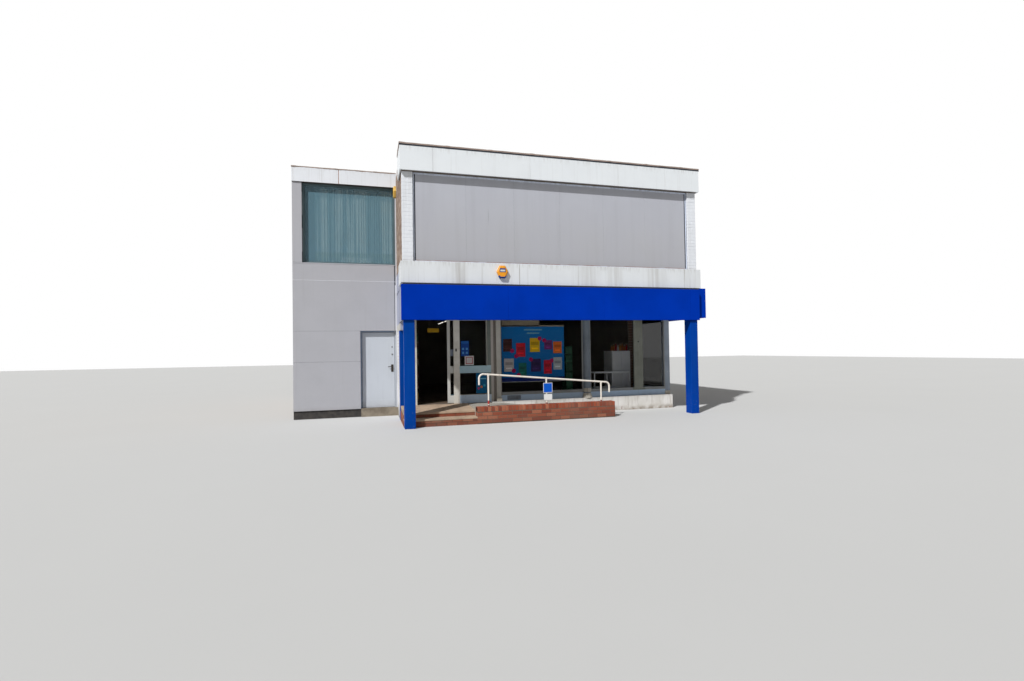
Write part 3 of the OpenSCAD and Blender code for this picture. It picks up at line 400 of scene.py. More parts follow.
class Shape:
    """Points and faces of one piece in the layout frame, with a tone and a colour for each face."""

    def __init__(self):
        self.points, self.faces, self.tones, self.inks, self.slots = [], [], [], [], []

    def add(self, points, faces, tone=0.5, ink=(255, 255, 255), slot=0):
        base, ink = len(self.points), linear_colour(ink)
        self.points.extend(points)
        for face in faces:
            self.faces.append([base + i for i in face])
            self.tones.append(tone)
            self.inks.append(ink)
            self.slots.append(slot)

    def convex(self, points, faces, **look):
        """Adds a convex body, with its faces turned outwards."""
        centre = sum((Vector(p) for p in points), Vector()) / len(points)
        turned = []
        for face in faces:
            a, b, c = (Vector(points[face[i]]) for i in (0, 1, 2))
            outwards = (b - a).cross(c - a).dot(a - centre) > 0
            turned.append(list(face) if outwards else list(reversed(face)))
        self.add(points, turned, **look)

    def box(self, low, high, chamfer=0.0, **look):
        """A block, with its edges cut back by chamfer."""
        if not chamfer:
            faces = [(0, 1, 3, 2), (4, 5, 7, 6), (0, 1, 5, 4), (2, 3, 7, 6), (0, 2, 6, 4),
                     (1, 3, 7, 5)]
            self.convex(list(product(*zip(low, high))), faces, **look)
            return
        def corner(axis, *places):
            """Corner whose place, 0 or 1, is given along an axis and the two that follow it."""
            return tuple(places[(k - axis) % 3] for k in range(3))
        points, index = [], {}
        for sign, axis in product(product((0, 1), repeat=3), range(3)):
            index[sign, axis] = len(points)
            cuts = [0.0 if k == axis else chamfer for k in range(3)]
            points.append(tuple(high[k] - cuts[k] if sign[k] else low[k] + cuts[k]
                                for k in range(3)))
        faces = []
        for axis in range(3):
            u, v = (axis + 1) % 3, (axis + 2) % 3
            for side in (0, 1):
                faces.append([index[corner(axis, side, *pair), axis]
                              for pair in ((0, 0), (1, 0), (1, 1), (0, 1))])
            for pair in product((0, 1), repeat=2):
                start, end = corner(axis, 0, *pair), corner(axis, 1, *pair)
                faces.append([index[start, u], index[end, u], index[end, v], index[start, v]])
        faces += [[index[sign, k] for k in range(3)] for sign in product((0, 1), repeat=3)]
        self.convex(points, faces, **look)

    def prism(self, outline, low, high, **look):
        """An outline in Y and Z, drawn out along X from low to high."""
        points = [(x, y, z) for x in (low, high) for y, z in outline]
        self.convex(points, caps(2, len(outline)) + bridge(2, len(outline)), **look)

    def frame(self, low, high, bar, chamfer=0.0, **look):
        """Four bars round a rectangle that faces the street."""
        (x0, y0, z0), (x1, y1, z1) = low, high
        for a, b in ((z0, z0 + bar), (z1 - bar, z1)):
            self.box((x0, y0, a), (x1, y1, b), chamfer, **look)
        for a, b in ((x0, x0 + bar), (x1 - bar, x1)):
            self.box((a, y0, z0 + bar), (b, y1, z1 - bar), chamfer, **look)

    def lathe(self, centre, profile, sides=24, axis=2, **look):
        """A body turned round an axis: profile lists (radius, height), from end to end."""
        points = []
        for radius, height in profile:
            for i in range(sides):
                angle = math.tau * i / sides
                a, b = radius * math.cos(angle), radius * math.sin(angle)
                offset = {0: (height, a, b), 1: (b, height, a), 2: (a, b, height)}[axis]
                points.append(tuple(c + o for c, o in zip(centre, offset)))
        first, last = caps(len(profile), sides)
        self.add(points, bridge(len(profile), sides) + [first[::-1], last], **look)

    def make(self, name, materials, slot, body="building", replaces=(), smooth=None,
             recalc=False):
        """Makes the piece and lets it ride on its body."""
        mesh = bpy.data.meshes.new(name)
        mesh.from_pydata([tuple(Vector(p) + CORNER) for p in self.points], [], self.faces)
        mesh.attributes.new("tone", "FLOAT", "FACE").data.foreach_set("value", self.tones)
        ink = mesh.attributes.new("ink", "FLOAT_COLOR", "FACE")
        ink.data.foreach_set("color", [c for colour in self.inks for c in colour])
        mesh.polygons.foreach_set("material_index", self.slots)
        piece = bpy.data.objects.new(name, mesh)
        bpy.context.scene.collection.objects.link(piece)
        for material in materials if isinstance(materials, (list, tuple)) else [materials]:
            mesh.materials.append(material)
        if recalc:
            work = bmesh.new()
            work.from_mesh(mesh)
            bmesh.ops.recalc_face_normals(work, faces=work.faces)
            work.to_mesh(mesh)
            work.free()
        mesh.validate()
        mesh.update()
        if smooth is not None:
            mesh.shade_smooth()
            mesh.set_sharp_from_angle(angle=math.radians(smooth))
        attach(piece, body)
        if replaces:
            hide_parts(*replaces)
        return piece


def finish_node(node, material):
    """Gives a solid its material."""
    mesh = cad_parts[node].data
    mesh.materials.clear()
    mesh.materials.append(material)


def cut_away(rect, holes):
    """The parts of a rectangle (u0, u1, v0, v1) that lie outside the holes, without slivers."""
    smallest = 0.018
    parts = [rect]
    for hole in holes:
        kept = []
        for u0, u1, v0, v1 in parts:
            a, b, c, d = hole
            if a >= u1 or b <= u0 or c >= v1 or d <= v0:
                kept.append((u0, u1, v0, v1))
                continue
            kept.append((u0, min(a, u1), v0, v1))
            kept.append((max(b, u0), u1, v0, v1))
            middle = (max(a, u0), min(b, u1))
            kept.append((*middle, v0, min(c, v1)))
            kept.append((*middle, max(d, v0), v1))
        parts = [p for p in kept if p[1] - p[0] > smallest and p[3] - p[2] > smallest]
    return parts


class Wall:
    """Brick faces laid on one plane: u runs along it, v up and w outwards."""

    def __init__(self, start, along, seed, shape=None):
        self.start = Vector(start)
        self.along = Vector(along)
        self.out = self.along.cross(Vector((0, 0, 1)))
        self.random = random.Random(seed)
        self.shape = shape or Shape()

    def place(self, u, v, w):
        return tuple(self.start + self.along * u + Vector((0, 0, v)) + self.out * w)

    def brick(self, u0, u1, v0, v1):
        """One brick face with worn edges, a hair out of line with its neighbours."""
        w = PROUD + self.random.uniform(-0.0012, 0.0008)
        points = [self.place(u, v, depth)
                  for cut, depth in ((0.0, -0.002), (0.0, w - EDGE), (EDGE, w))
                  for u, v in ((u0 + cut, v0 + cut), (u1 - cut, v0 + cut),
                               (u1 - cut, v1 - cut), (u0 + cut, v1 - cut))]
        self.shape.add(points, [(8, 9, 10, 11)] + bridge(3, 4), tone=self.random.random())

    def courses(self, length, v0, v1, holes=(), wrap=0.0):
        """Stretcher bond over a length, from height v0 to v1."""
        row = int(v0 / COURSE)
        while row * COURSE < v1:
            low, high = max(row * COURSE, v0), min(row * COURSE + BRICK_H, v1)
            u = -(row % 2) * MODULE / 2
            while u < length:
                a = -wrap if u <= 0 else u + self.random.uniform(-0.001, 0.001)
                b = u + BRICK_L
                b = length + wrap if b >= length else b
                if b - a > 0.02 and high - low > 0.012:
                    for part in cut_away((a, b, low, high), holes):
                        self.brick(*part)
                u += MODULE
            row += 1

    def sill(self, u0, u1, v, depth, thick):
        """A concrete sill under a window, sloping outwards, as part 1 of the piece."""
        nose = 0.03
        outline = [(-depth, v - thick), (nose, v - thick), (nose, v + 0.002), (-depth, v + 0.012)]
        points = [self.place(u, b, a) for u in (u0, u1) for a, b in outline]
        self.shape.convex(points, caps(2, 4) + bridge(2, 4), slot=1)


# Sizes shared by several pieces: fascia boards and worn edges; the plain square windows of
# the sides and rear, their sill height and how far they stand back; bars of all windows
FASCIA_T = 0.03
EDGE = 0.003
PLAIN_W = 1.2
PLAIN_Z = 4.15
PLAIN_BACK = 0.08
WINDOW_BAR = 0.045
SIDE_WINDOWS = (MAIN_D / 2 - PLAIN_W, MAIN_D - 2 * PLAIN_W)
REAR_WINDOWS = (MAIN_W / 2 - 1.5 * PLAIN_W, MAIN_W / 2 + 0.5 * PLAIN_W,
                (-WING_W + WALL_T - PLAIN_W) / 2)
BLUE_END = 1.65

# Wing: sill and sides of its window, and the face of its door
SILL_Z = 3.977
WING_WINDOW_L, WING_WINDOW_R = -WING_W + 0.232, -0.036
DOOR_FACE = WING_FRONT + 0.11

# Shopfront: heights of its parts, its frame bars, round post, corner post and wide mullion
PLINTH_TOP = corners("shop_plinth")[1].z
FRAME_LOW = corners("window_riser_panel")[1].z
SHOP_BAR = 0.05
SIDE_BAR = 0.02
ROUND_POST_X = 4.926
ROUND_POST_R = 0.1
CORNER_POST_W = 0.154
MULLION_L, MULLION_R = 6.361, 6.621
MID_RAIL_LOW, MID_RAIL_HIGH = SHOP_FLOOR + 0.767, SHOP_FLOOR + 0.927
PRINT_T = 0.0006

# Tube of the handrail
RAIL_R = 0.0195


def split(shape, low, high, joints, gap=0.003, chamfer=EDGE):
    """Boards side by side along X, with a gap at each joint."""
    edges = [low[0], *joints, high[0]]
    for k, (a, b) in enumerate(zip(edges, edges[1:])):
        start = a + gap / 2 if k else a
        end = b - gap / 2 if k < len(joints) else b
        shape.box((start, low[1], low[2]), (end, high[1], high[2]), chamfer)


def plain_window_surround(wall, u0, u1):
    """Concrete lintel and sill that fit the brick courses; returns the hole that they need."""
    top = PLAIN_Z + PLAIN_W
    sill_low = math.floor(PLAIN_Z / COURSE) * COURSE - COURSE
    lintel_top = math.ceil(top / COURSE + 1.5) * COURSE - JOINT
    bearing = 0.15
    wall.sill(u0 - bearing / 3, u1 + bearing / 3, PLAIN_Z, PLAIN_BACK, PLAIN_Z - sill_low)
    points = [wall.place(u, v, w) for u in (u0 - bearing, u1 + bearing)
              for v in (top, lintel_top) for w in (-0.002, PROUD)]
    faces = [(0, 1, 3, 2), (4, 5, 7, 6), (0, 1, 5, 4), (2, 3, 7, 6), (1, 3, 7, 5)]
    wall.shape.convex(points, faces, slot=1)
    return [(u0, u1, PLAIN_Z, top), (u0 - bearing, u1 + bearing, top, lintel_top + JOINT / 2),
            (u0 - bearing / 3, u1 + bearing / 3, sill_low, PLAIN_Z)]


def brick_walls():
    """Brick faces on the outer walls; the solids behind them show as mortar."""
    core = wall_core("wall_core")
    for node in ("left_side_wall", "right_side_wall", "rear_walls", "wing_side_wall"):
        finish_node(node, core)
    clay = brick_finish("beige_brick", ((157, 137, 124), (137, 115, 103), (177, 158, 144)))
    cast = concrete("cast_surrounds", (168, 164, 154))
    lime = paint("limewashed_brick", (214, 214, 214), streaks=0.5, patch=0.2, roughness=0.8,
                 grain=120, ground=0.5)

    left = Wall((0, WING_FRONT, 0), (0, -1, 0), seed=11)
    length = WING_FRONT - PIER_D
    left.courses(length, corners("mid_fascia")[1].z, MAIN_TOP, wrap=PROUD)
    left.shape.make("left_wall_bricks", clay, "brick")
    low = Wall((0, WING_FRONT, 0), (0, -1, 0), seed=12)
    low.courses(WING_FRONT - BLUE_END, 0.0, CHEEK_LOW_Z)
    low.shape.make("left_wall_painted_bricks", lime, "white_paint")

    right = Wall((MAIN_W, PIER_D, 0), (0, 1, 0), seed=13)
    holes = [(-1.0, RETURN_END - PIER_D, -1.0, UPPER_FLOOR)]
    for y in SIDE_WINDOWS:
        holes += plain_window_surround(right, y - PIER_D, y - PIER_D + PLAIN_W)
    right.courses(MAIN_D - PIER_D, 0.0, MAIN_TOP, holes, wrap=PROUD)
    right.shape.make("right_wall_bricks", [clay, cast], "brick")

    rear = Wall((MAIN_W, MAIN_D, 0), (-1, 0, 0), seed=14)
    holes = [(-1.0, MAIN_W, MAIN_TOP, WING_TOP + 1.0)]
    for x in REAR_WINDOWS:
        holes += plain_window_surround(rear, MAIN_W - x - PLAIN_W, MAIN_W - x)
    rear.courses(MAIN_W + WING_W, 0.0, WING_TOP, holes, wrap=PROUD)
    rear.shape.make("rear_wall_bricks", [clay, cast], "brick")

    side = Wall((-WING_W, MAIN_D, 0), (0, -1, 0), seed=15)
    side.courses(MAIN_D - WING_INNER_Y, 0.0, WING_TOP, wrap=PROUD)
    side.shape.make("wing_wall_bricks", clay, "brick")


def felt_run(shape, start, along, across, length, width, low, high, seed, groove=0.0):
    """Felt dressed over a kerb: a closed strip with lumps, laps and ragged lower edges.

    groove is the height of a recess under the felt's front edge.
    """
    start, along, across = Vector(start), Vector(along), Vector(across)
    count = max(2, round(length / 0.05))
    rings, corner = [], 0.012
    for i in range(count + 1):
        s = length * i / count
        lap = 0.005 if s % 1.0 < 0.1 else 0.0

        def lump(k, size=0.005, pace=4.0):
            return size * noise.noise(Vector((s * pace, k * 3.1, seed)))
        ragged = 0.02 * max(0.0, noise.noise(Vector((s * 1.6, 9.0, seed))) + 0.1)
        lip = low + groove + ragged + lump(0, 0.012, 9.0)
        recess = [(0.009, low), (0.009, lip - 0.002)] if groove else []
        profile = recess + [
            (-lap, lip), (lump(1, 0.004) - lap, high - corner),
            (corner, high + lap + lump(2)), (width / 2, high + 0.004 + lap + lump(3)),
            (width - corner, high + lap + lump(4)), (width + lap, high - corner),
            (width + lap, low + lump(5, 0.01))]
        rings.append([tuple(start + along * s + across * a + Vector((0, 0, z)))
                      for a, z in profile])
    ring_size = (len(rings), len(rings[0]))
    shape.add([p for ring in rings for p in ring], bridge(*ring_size) + caps(*ring_size),
              tone=random.Random(seed).random())


def roofs():
    """Felt copings round both roofs and felt strips on the roofs."""
    low, high = corners("roof_copings")
    shape = Shape()
    kerb = WALL_T + 0.01
    front_y = corners("top_fascia")[0].y - 0.01
    room_y = corners("front_upper_wall")[1].y
    lap_x = -corners("top_fascia")[0].x + 0.01
    top = MAIN_TOP + 0.072 - 0.004
    groove, side_y = 0.026, 0.7
    felt_run(shape, (-lap_x, front_y, 0), (1, 0, 0), (0, 1, 0), MAIN_W + 2 * lap_x,
             room_y - front_y, MAIN_TOP, top, 1, groove)
    for x, inward, seed in ((-lap_x, 1, 2), (MAIN_W + lap_x, -1, 3)):
        felt_run(shape, (x, room_y, 0), (0, 1, 0), (inward, 0, 0), side_y - room_y,
                 WALL_T + lap_x, MAIN_TOP, top, seed)
    for x, inward, seed in ((0.0, 1, 4), (MAIN_W + 0.01, -1, 5)):
        felt_run(shape, (x, side_y, 0), (0, 1, 0), (inward, 0, 0), high.y - side_y, kerb,
                 MAIN_TOP, top - 0.003, seed)
    felt_run(shape, (0.0, high.y, 0), (1, 0, 0), (0, -1, 0), MAIN_W + 0.01, kerb, MAIN_TOP,
             top - 0.006, 6)
    wing_top = high.z - 0.006
    wing_front = corners("wing_fascia")[0].y - 0.01
    felt_run(shape, (low.x, wing_front, 0), (1, 0, 0), (0, 1, 0), -low.x,
             WING_INNER_Y - wing_front, WING_TOP - 0.008, wing_top, 7)
    felt_run(shape, (low.x, WING_INNER_Y, 0), (0, 1, 0), (1, 0, 0), high.y - WING_INNER_Y, kerb,
             WING_TOP, wing_top - 0.003, 8)
    felt_run(shape, (low.x, high.y, 0), (1, 0, 0), (0, -1, 0), -low.x, kerb, WING_TOP,
             wing_top - 0.006, 9)
    felt_run(shape, (0.0, WING_INNER_Y, 0), (0, 1, 0), (-1, 0, 0), high.y - WING_INNER_Y, 0.11,
             WING_TOP, wing_top - 0.004, 10)
    # The coping felt's front recess is painted dark as painted shade.
    shape.make("coping_felt", felt("coping_felt", (146, 128, 118),
                                   (MAIN_TOP + groove + 0.004, front_y + 0.02)),
               "coping_felt", replaces=["roof_copings"], smooth=50, recalc=True)

    roof = felt("roof_felt", (98, 98, 96))
    finish_node("roof_slabs", roof)
    strips = Shape()
    rand = random.Random(20)
    for x0, x1, y0, z in ((WALL_T, MAIN_W - WALL_T, room_y, MAIN_TOP - 0.04),
                          (-WING_W + WALL_T, -0.11, WING_INNER_Y, WING_TOP - 0.04)):
        y, k = y0, 0
        while y < MAIN_D - WALL_T:
            end = min(y + 1.0, MAIN_D - WALL_T)
            rise = 0.003 + 0.003 * (k % 2)
            cut = x0 + (x1 - x0) * rand.uniform(0.3, 0.7)
            for a, b in ((x0, cut), (cut - 0.08, x1)):
                rise += 0.001
                strips.box((a, y, z - 0.001), (b, min(end + 0.08, MAIN_D - WALL_T), z + rise),
                           0.001, tone=rand.random())
            y, k = end, k + 1
    strips.make("roof_felt_strips", roof, "roof_felt")


def fascia(name, node, material, joints, board_z):
    """Boards of a white fascia: front boards, side returns and the board that closes the box."""
    low, high = corners(node)
    t = FASCIA_T
    shape = Shape()
    split(shape, low, (high.x, low.y + t, high.z), joints)
    for x in (low.x, high.x - t):
        shape.box((x, low.y + t, low.z), (x + t, high.y, high.z), EDGE)
    inner = (low.x + t, high.x - t)
    for a, b in ((inner[0], 0.0), (MAIN_W, inner[1])):
        shape.box((a, high.y - 0.012, low.z), (b, high.y, high.z))
    wall_y = corners("front_upper_wall")[0].y
    shape.box((inner[0], low.y + t, board_z), (inner[1], wall_y, board_z + t - 0.01), slot=1)
    for a, b in ((inner[0], WALL_T), (MAIN_W - WALL_T, inner[1])):
        shape.box((a, wall_y, board_z), (b, PIER_D, board_z + t - 0.01), slot=1)
    screw_pitch = 0.58
    for k in range(1, 13):
        for z in (low.z + 0.05, high.z - 0.06):
            shape.lathe((low.x + k * screw_pitch, low.y, z),
                        [(0.007, 0.0005), (0.006, -0.0015)], 8, 1)
    # The board that closes the box underneath is weathered brown and darkened as painted shade.
    weathered_and_painted_shade = paint("weathered_underside", (104, 90, 76), streaks=0.4, patch=0.3)
    shape.make(name, [material, weathered_and_painted_shade], "white_paint", replaces=[node])


def upper_front():
    """White fascias, white brick piers and the grey panel between them."""
    top_joints = (0.683, 2.96, 5.237, 6.55)
    low_joints = (2.661, 4.86, 7.06)
    top_white = paint("top_fascia_paint", (228, 232, 235), soil=(150, 140, 128), streaks=0.12,
                      patch=0.04, top=MAIN_TOP, edge=0.2,
                      stains=[(x, 0.03, 0.15) for x in top_joints] + [(0.66, 0.14, 0.16)])
    low_white = paint("low_fascia_paint", (219, 222, 224), soil=(122, 110, 90), streaks=0.25,
                      patch=0.07, top=UPPER_FLOOR + 0.48, edge=0.2,
                      stains=((1.26, 0.24, 0.6), (2.661, 0.012, 0.9), (4.4, 0.4, 0.3),
                              (5.1, 0.3, 0.35), (6.2, 0.45, 0.3), (7.06, 0.012, 1.0)))
    fascia("top_fascia_boards", "top_fascia", top_white, top_joints,
           corners("top_fascia")[0].z + 0.006)
    fascia("low_fascia_boards", "mid_fascia", low_white, low_joints,
           corners("mid_fascia")[1].z - FASCIA_T + 0.01)

    pier_white = paint("pier_paint", (226, 229, 234), soil=(140, 132, 120), streaks=0.3, patch=0.06,
                       roughness=0.6, grain=120)
    finish_node("front_upper_piers", pier_white)
    low, high = corners("front_upper_piers")
    piers = Shape()
    for start, along, length in (
            ((0, 0, 0), (1, 0, 0), WALL_T), ((0, PIER_D, 0), (0, -1, 0), PIER_D),
            ((WALL_T, 0, 0), (0, 1, 0), PIER_D), ((MAIN_W - WALL_T, 0, 0), (1, 0, 0), WALL_T),
            ((MAIN_W - WALL_T, PIER_D, 0), (0, -1, 0), PIER_D),
            ((MAIN_W, 0, 0), (0, 1, 0), PIER_D)):
        Wall(start, along, 31, piers).courses(length, low.z, high.z, wrap=0.002)
    piers.make("pier_bricks", pier_white, "white_paint")

    back_low, back_high = corners("front_grey_panel")
    border, rim = 0.035, back_low.y + 0.015
    # Faces of the panel solid off the trim's front, the strip beside each pier and the panel face
    # round the sheets, are painted dark as painted shade in those gaps.
    g = Graph("panel_border", 0.5)
    inset = g.maths("MINIMUM", g.maths("SUBTRACT", g.x, WALL_T),
                    g.maths("SUBTRACT", MAIN_W - WALL_T, g.x))
    trim = g.times(g.maths("GREATER_THAN", inset, 0.015), g.maths("LESS_THAN", g.y, rim - 0.004))
    light = g.mix(g.span(g.runs(), 0.4, 0.7), (222, 231, 248), (196, 203, 218))
    g.bump(g.noise(200.0), 0.0005)
    finish_node("front_grey_panel", g.finish(g.mix(trim, (62, 66, 76), light)))

    g = Graph("panel_sheets", 0.5)
    base = g.mix(g.span(g.z, back_low.z, back_high.z), (170, 170, 174), (180, 182, 190))
    sheen = g.mix(g.span(g.noise(0.7, 3.0), 0.35, 0.65, 0.0, 0.5), base, (172, 173, 181))
    rain = g.mix(g.span(g.runs(7.0, 0.25), 0.45, 0.8, 0.0, 0.12), sheen, (136, 134, 136))
    slit = g.times(g.band(g.x, 1.972, 0.008), g.band(g.z, 4.8, 0.25))
    foot = g.times(g.span(g.z, back_low.z + 0.056, back_low.z + 0.046),
                   g.span(g.noise(2.4, 5.0), 0.3, 0.55))
    marked = g.mix(g.times(slit, 0.5), rain, (70, 72, 80))
    marked = g.mix(g.times(foot, 0.8), marked, (132, 84, 48))
    g.bump(g.noise(0.9, 2.0), 0.003)
    g.bump(g.noise(240.0, 2.0), 0.0004)
    sheets = Shape()
    x0, x1 = back_low.x + border + 0.03, back_high.x - border - 0.03
    joints = [x0 + (x1 - x0) * k / 6 for k in range(1, 6)]
    split(sheets, (x0, rim - 0.004, back_low.z + border - 0.005),
          (x1, rim + 0.001, back_high.z - border + 0.005), joints, 0.0015, 0.001)
    sheets.make("grey_panel_sheets", g.finish(marked, g.span(g.noise(2.0), 0.3, 0.7, 0.4, 0.55)),
                "grey_panel")
    finish_node("front_upper_wall", concrete("front_upper_wall", (150, 146, 138)))


def blue_finish(name, colour, roughness, worn, shine, fade):
    """Blue gloss paint or plastic film, faded in soft patches and scuffed near the ground."""
    g = Graph(name)
    base = srgb(*colour)
    soft = g.mix(g.span(g.noise(1.1, 4.0), 0.35, 0.7), base, shade(base, 0.86))
    faded = g.mix(g.span(g.runs(5.0, 0.4), 0.5, 0.85, 0.0, fade), soft, (40, 104, 190))
    scuff = g.times(g.span(g.noise(26.0, 5.0), 0.6, 0.72), g.span(g.z, 0.8, 0.0, 0.02, worn))
    g.set("Specular IOR Level", shine)
    g.bump(g.noise(160.0, 3.0), 0.0006)
    return g.finish(g.mix(scuff, faded, (96, 104, 120)),
                    g.span(g.noise(5.0, 4.0), 0.3, 0.7, roughness, roughness + 0.16))


def signs():
    """Trays of the front and side signs, bare of lettering, and the blue columns below them."""
    blue = blue_finish("sign_film", (0, 51, 168), 0.4, 0.0, 0.02, 0.02)
    low, high = corners("shop_sign_front")
    front = Shape()
    end_x = 7.135
    split(front, low, (end_x, high.y, high.z), (2.35, 4.74), 0.002)
    front.box((end_x + 0.003, low.y - 0.003, low.z), high, EDGE)
    front.box((low.x, low.y + 0.02, low.z - 0.003), (high.x, low.y + 0.04, low.z))
    for x in [low.x + 0.12 + 0.45 * k for k in range(17)]:
        front.lathe((x, low.y + 0.06, high.z), [(0.008, 0.0), (0.006, 0.004)], 8)
    front.make("front_sign_trays", blue, "sign_blue", replaces=["shop_sign_front"])
    low, high = corners("shop_sign_side")
    side = Shape()
    count = 3
    pitch = (high.y - low.y) / count
    for k in range(count):
        side.box((low.x, low.y + k * pitch + 0.001, low.z),
                 (high.x, low.y + (k + 1) * pitch - 0.001, high.z), EDGE)
    side.box((low.x + 0.02, low.y - 0.002, low.z - 0.003), (high.x - 0.02, low.y + 0.02, low.z))
    side.make("side_sign_trays", blue, "sign_blue", replaces=["shop_sign_side"])

    pier = blue_finish("pier_blue", (0, 62, 148), 0.42, 0.5, 0.05, 0.12)
    casing = Shape()
    casing.box(*corners("left_blue_pier"), 0.005)
    casing.make("left_blue_pier_casing", pier, "blue_paint", replaces=["left_blue_pier"])
    end = Shape()
    end.box((-PROUD, GLAZING - PROUD, 0.0), (0.001, BLUE_END, CHEEK_LOW_Z), 0.001)
    end.box((0.0, GLAZING - PROUD, SHOP_FLOOR), (WALL_T, GLAZING + 0.001, CHEEK_LOW_Z), 0.001)
    end.make("left_wall_blue_end", pier, "blue_paint")
    low, high = corners("corner_column")
    column = Shape()
    column.box(low, (high.x, high.y, CHEEK_Z), 0.006)
    column.box((low.x, corners("canopy_soffit")[0].y, CHEEK_Z), high, 0.003)
    column_blue = blue_finish("column_blue", (0, 60, 152), 0.35, 0.7, 0.05, 0.1)
    column.make("corner_column_casing", column_blue, "blue_paint", replaces=["corner_column"])


def canopy():
    """Gap over the sign painted dark as painted shade, soffit sheets and the grey cheek on the
    left.
    """
    # The beam that shows in the gap over the sign is painted near black as painted shade under the
    # lower fascia.
    finish_node("canopy_beam", paint("beam_paint", (18, 26, 38), streaks=0.2))
    soffit = paint("soffit_paint", (196, 194, 186), soil=(120, 110, 96), streaks=0.1, patch=0.2)
    finish_node("canopy_soffit", soffit)
    low, high = corners("canopy_soffit")
    strips = Shape()
    pitch = 1.2
    for k in range(1, 7):
        x = low.x + pitch * k
        if x < high.x:
            strips.box((x - 0.02, low.y + 0.01, low.z - 0.004),
                       (x + 0.02, high.y - 0.02, low.z + 0.001), 0.0015)
    strips.make("soffit_cover_strips", soffit, "white_paint")
    # Flashing with an uneven lower edge over the sign; its near-black paint is painted shade in the
    # gap
    ribbon = Shape()
    x0, x1 = corners("shop_sign_front")[0].x + 0.01, MAIN_W
    y = corners("shop_sign_front")[1].y
    count = 300
    points, top_z = [], UPPER_FLOOR - 0.002
    for i in range(count + 1):
        x = x0 + (x1 - x0) * i / count
        sag = 0.028 * max(0.0, noise.noise(Vector((x * 2.1, 4.0, 0.0)))) ** 2 * 3.0
        sag += 0.014 * sum(math.exp(-((x - c) / 0.07) ** 2) for c in (2.27, 4.41, 5.66))
        low_z = UPPER_FLOOR - 0.012 + sag * 0.4
        points += [(x, y - 0.03, top_z), (x, y - 0.032, low_z), (x, y - 0.0315, low_z),
                   (x, y - 0.0295, top_z)]
    ribbon.add(points, bridge(count + 1, 4))
    flashing = paint("flashing", (30, 36, 46), streaks=0.2)
    ribbon.make("sign_flashing", flashing, "beam", recalc=True)

    cheek = paint("cheek_paint", (152, 157, 178), soil=(140, 136, 132), streaks=0.3, patch=0.06)
    warm = paint("cheek_low_paint", (190, 187, 180), soil=(120, 112, 100), streaks=0.4, patch=0.12)
    low, high = corners("canopy_left_cheek")
    low_y = 1.0
    boards = Shape()
    boards.box((0.0, low.y, CHEEK_Z), high, 0.004)
    boards.box((0.0, low_y, low.z), (high.x, high.y, CHEEK_Z + 0.004), 0.004)
    boards.make("canopy_cheek_boards", cheek, "grey_cladding", replaces=["canopy_left_cheek"])
    trim = Shape()
    t, back = 0.004, WING_FRONT - 0.001
    trim.box((-t, high.y + 0.002, CHEEK_Z), (0.0005, back, high.z - 0.002), 0.001)
    fascia_end, fascia_top = corners("mid_fascia")[1].y, corners("mid_fascia")[1].z
    trim.box((-t, fascia_end + 0.001, high.z + 0.002), (0.0005, back, fascia_top - 0.002), 0.001)
    for a, b in (((-t, low.y - t, CHEEK_Z), (0.0, low.y + 0.03, high.z)),
                 ((-t, low.y, high.z - 0.03), (0.0, back, high.z))):
        trim.box(a, b, 0.001)
    trim.box((-2 * t, low_y, low.z), (0.0005, back, CHEEK_Z), 0.002, slot=1)
    # The two strips in the dark flashing paint are painted shade: one on the cheek's left face
    # along the foot of its upper board, one along its top under the fascia.
    trim.box((-t - 0.001, low.y, CHEEK_Z - t), (0.0005, 1.4, CHEEK_Z + 0.03), slot=2)
    trim.box((-t - 0.001, low.y - 0.006, high.z - 0.052), (high.x, low.y - 0.003, high.z - 0.001),
             slot=2)
    trim.make("canopy_cheek_trims", [cheek, warm, flashing], "grey_cladding")


def beads(shape, low, high, y, gasket_slot=1):
    """Glazing beads and a black gasket round a pane that faces the street at y."""
    (x0, z0), (x1, z1) = low, high
    shape.frame((x0, y - 0.012, z0), (x1, y - 0.001, z1), 0.012, 0.002)
    shape.frame((x0 + 0.0115, y - 0.005, z0 + 0.0115), (x1 - 0.0115, y - 0.0004, z1 - 0.0115),
                0.004, slot=gasket_slot)


def screen_finish():
    """Side screen: pale left stile and top; the greenish right stile and the pale blue rail and
    foot are painted shade on the same pale frame.
    """
    g = Graph("screen_paint", 0.4)
    soft = g.span(g.noise(2.4, 5.0), 0.3, 0.72)
    pale = g.mix(soft, (214, 212, 204), (194, 190, 180))
    # The greenish right stile and the pale blue rail and foot are painted shade on the pale frame.
    green = g.mix(soft, (98, 106, 100), (84, 92, 86))
    rail = g.mix(soft, (164, 194, 204), (144, 174, 186))
    foot = g.mix(soft, (196, 216, 236), (176, 196, 216))
    right = g.maths("GREATER_THAN", g.x, SCREEN_HIGH.x - 0.0975)
    middle = g.band(g.z, SHOP_FLOOR + 0.847, 0.1)
    left = g.maths("LESS_THAN", g.x, SCREEN_LOW.x + 0.1455)
    middle = g.times(g.maths("GREATER_THAN", middle, 0.01), g.maths("SUBTRACT", 1.0, left))
    low = g.times(g.maths("LESS_THAN", g.z, SHOP_FLOOR + 0.2), g.maths("SUBTRACT", 1.0, left))
    colour = g.mix(low, g.mix(middle, g.mix(right, pale, green), rail), foot)
    worn = g.times(g.span(g.noise(34.0, 5.0), 0.62, 0.7), 0.4)
    g.bump(g.noise(180.0, 3.0), 0.0005)
    return g.finish(g.mix(worn, colour, (96, 88, 76)), g.span(soft, 0.0, 1.0, 0.32, 0.48))


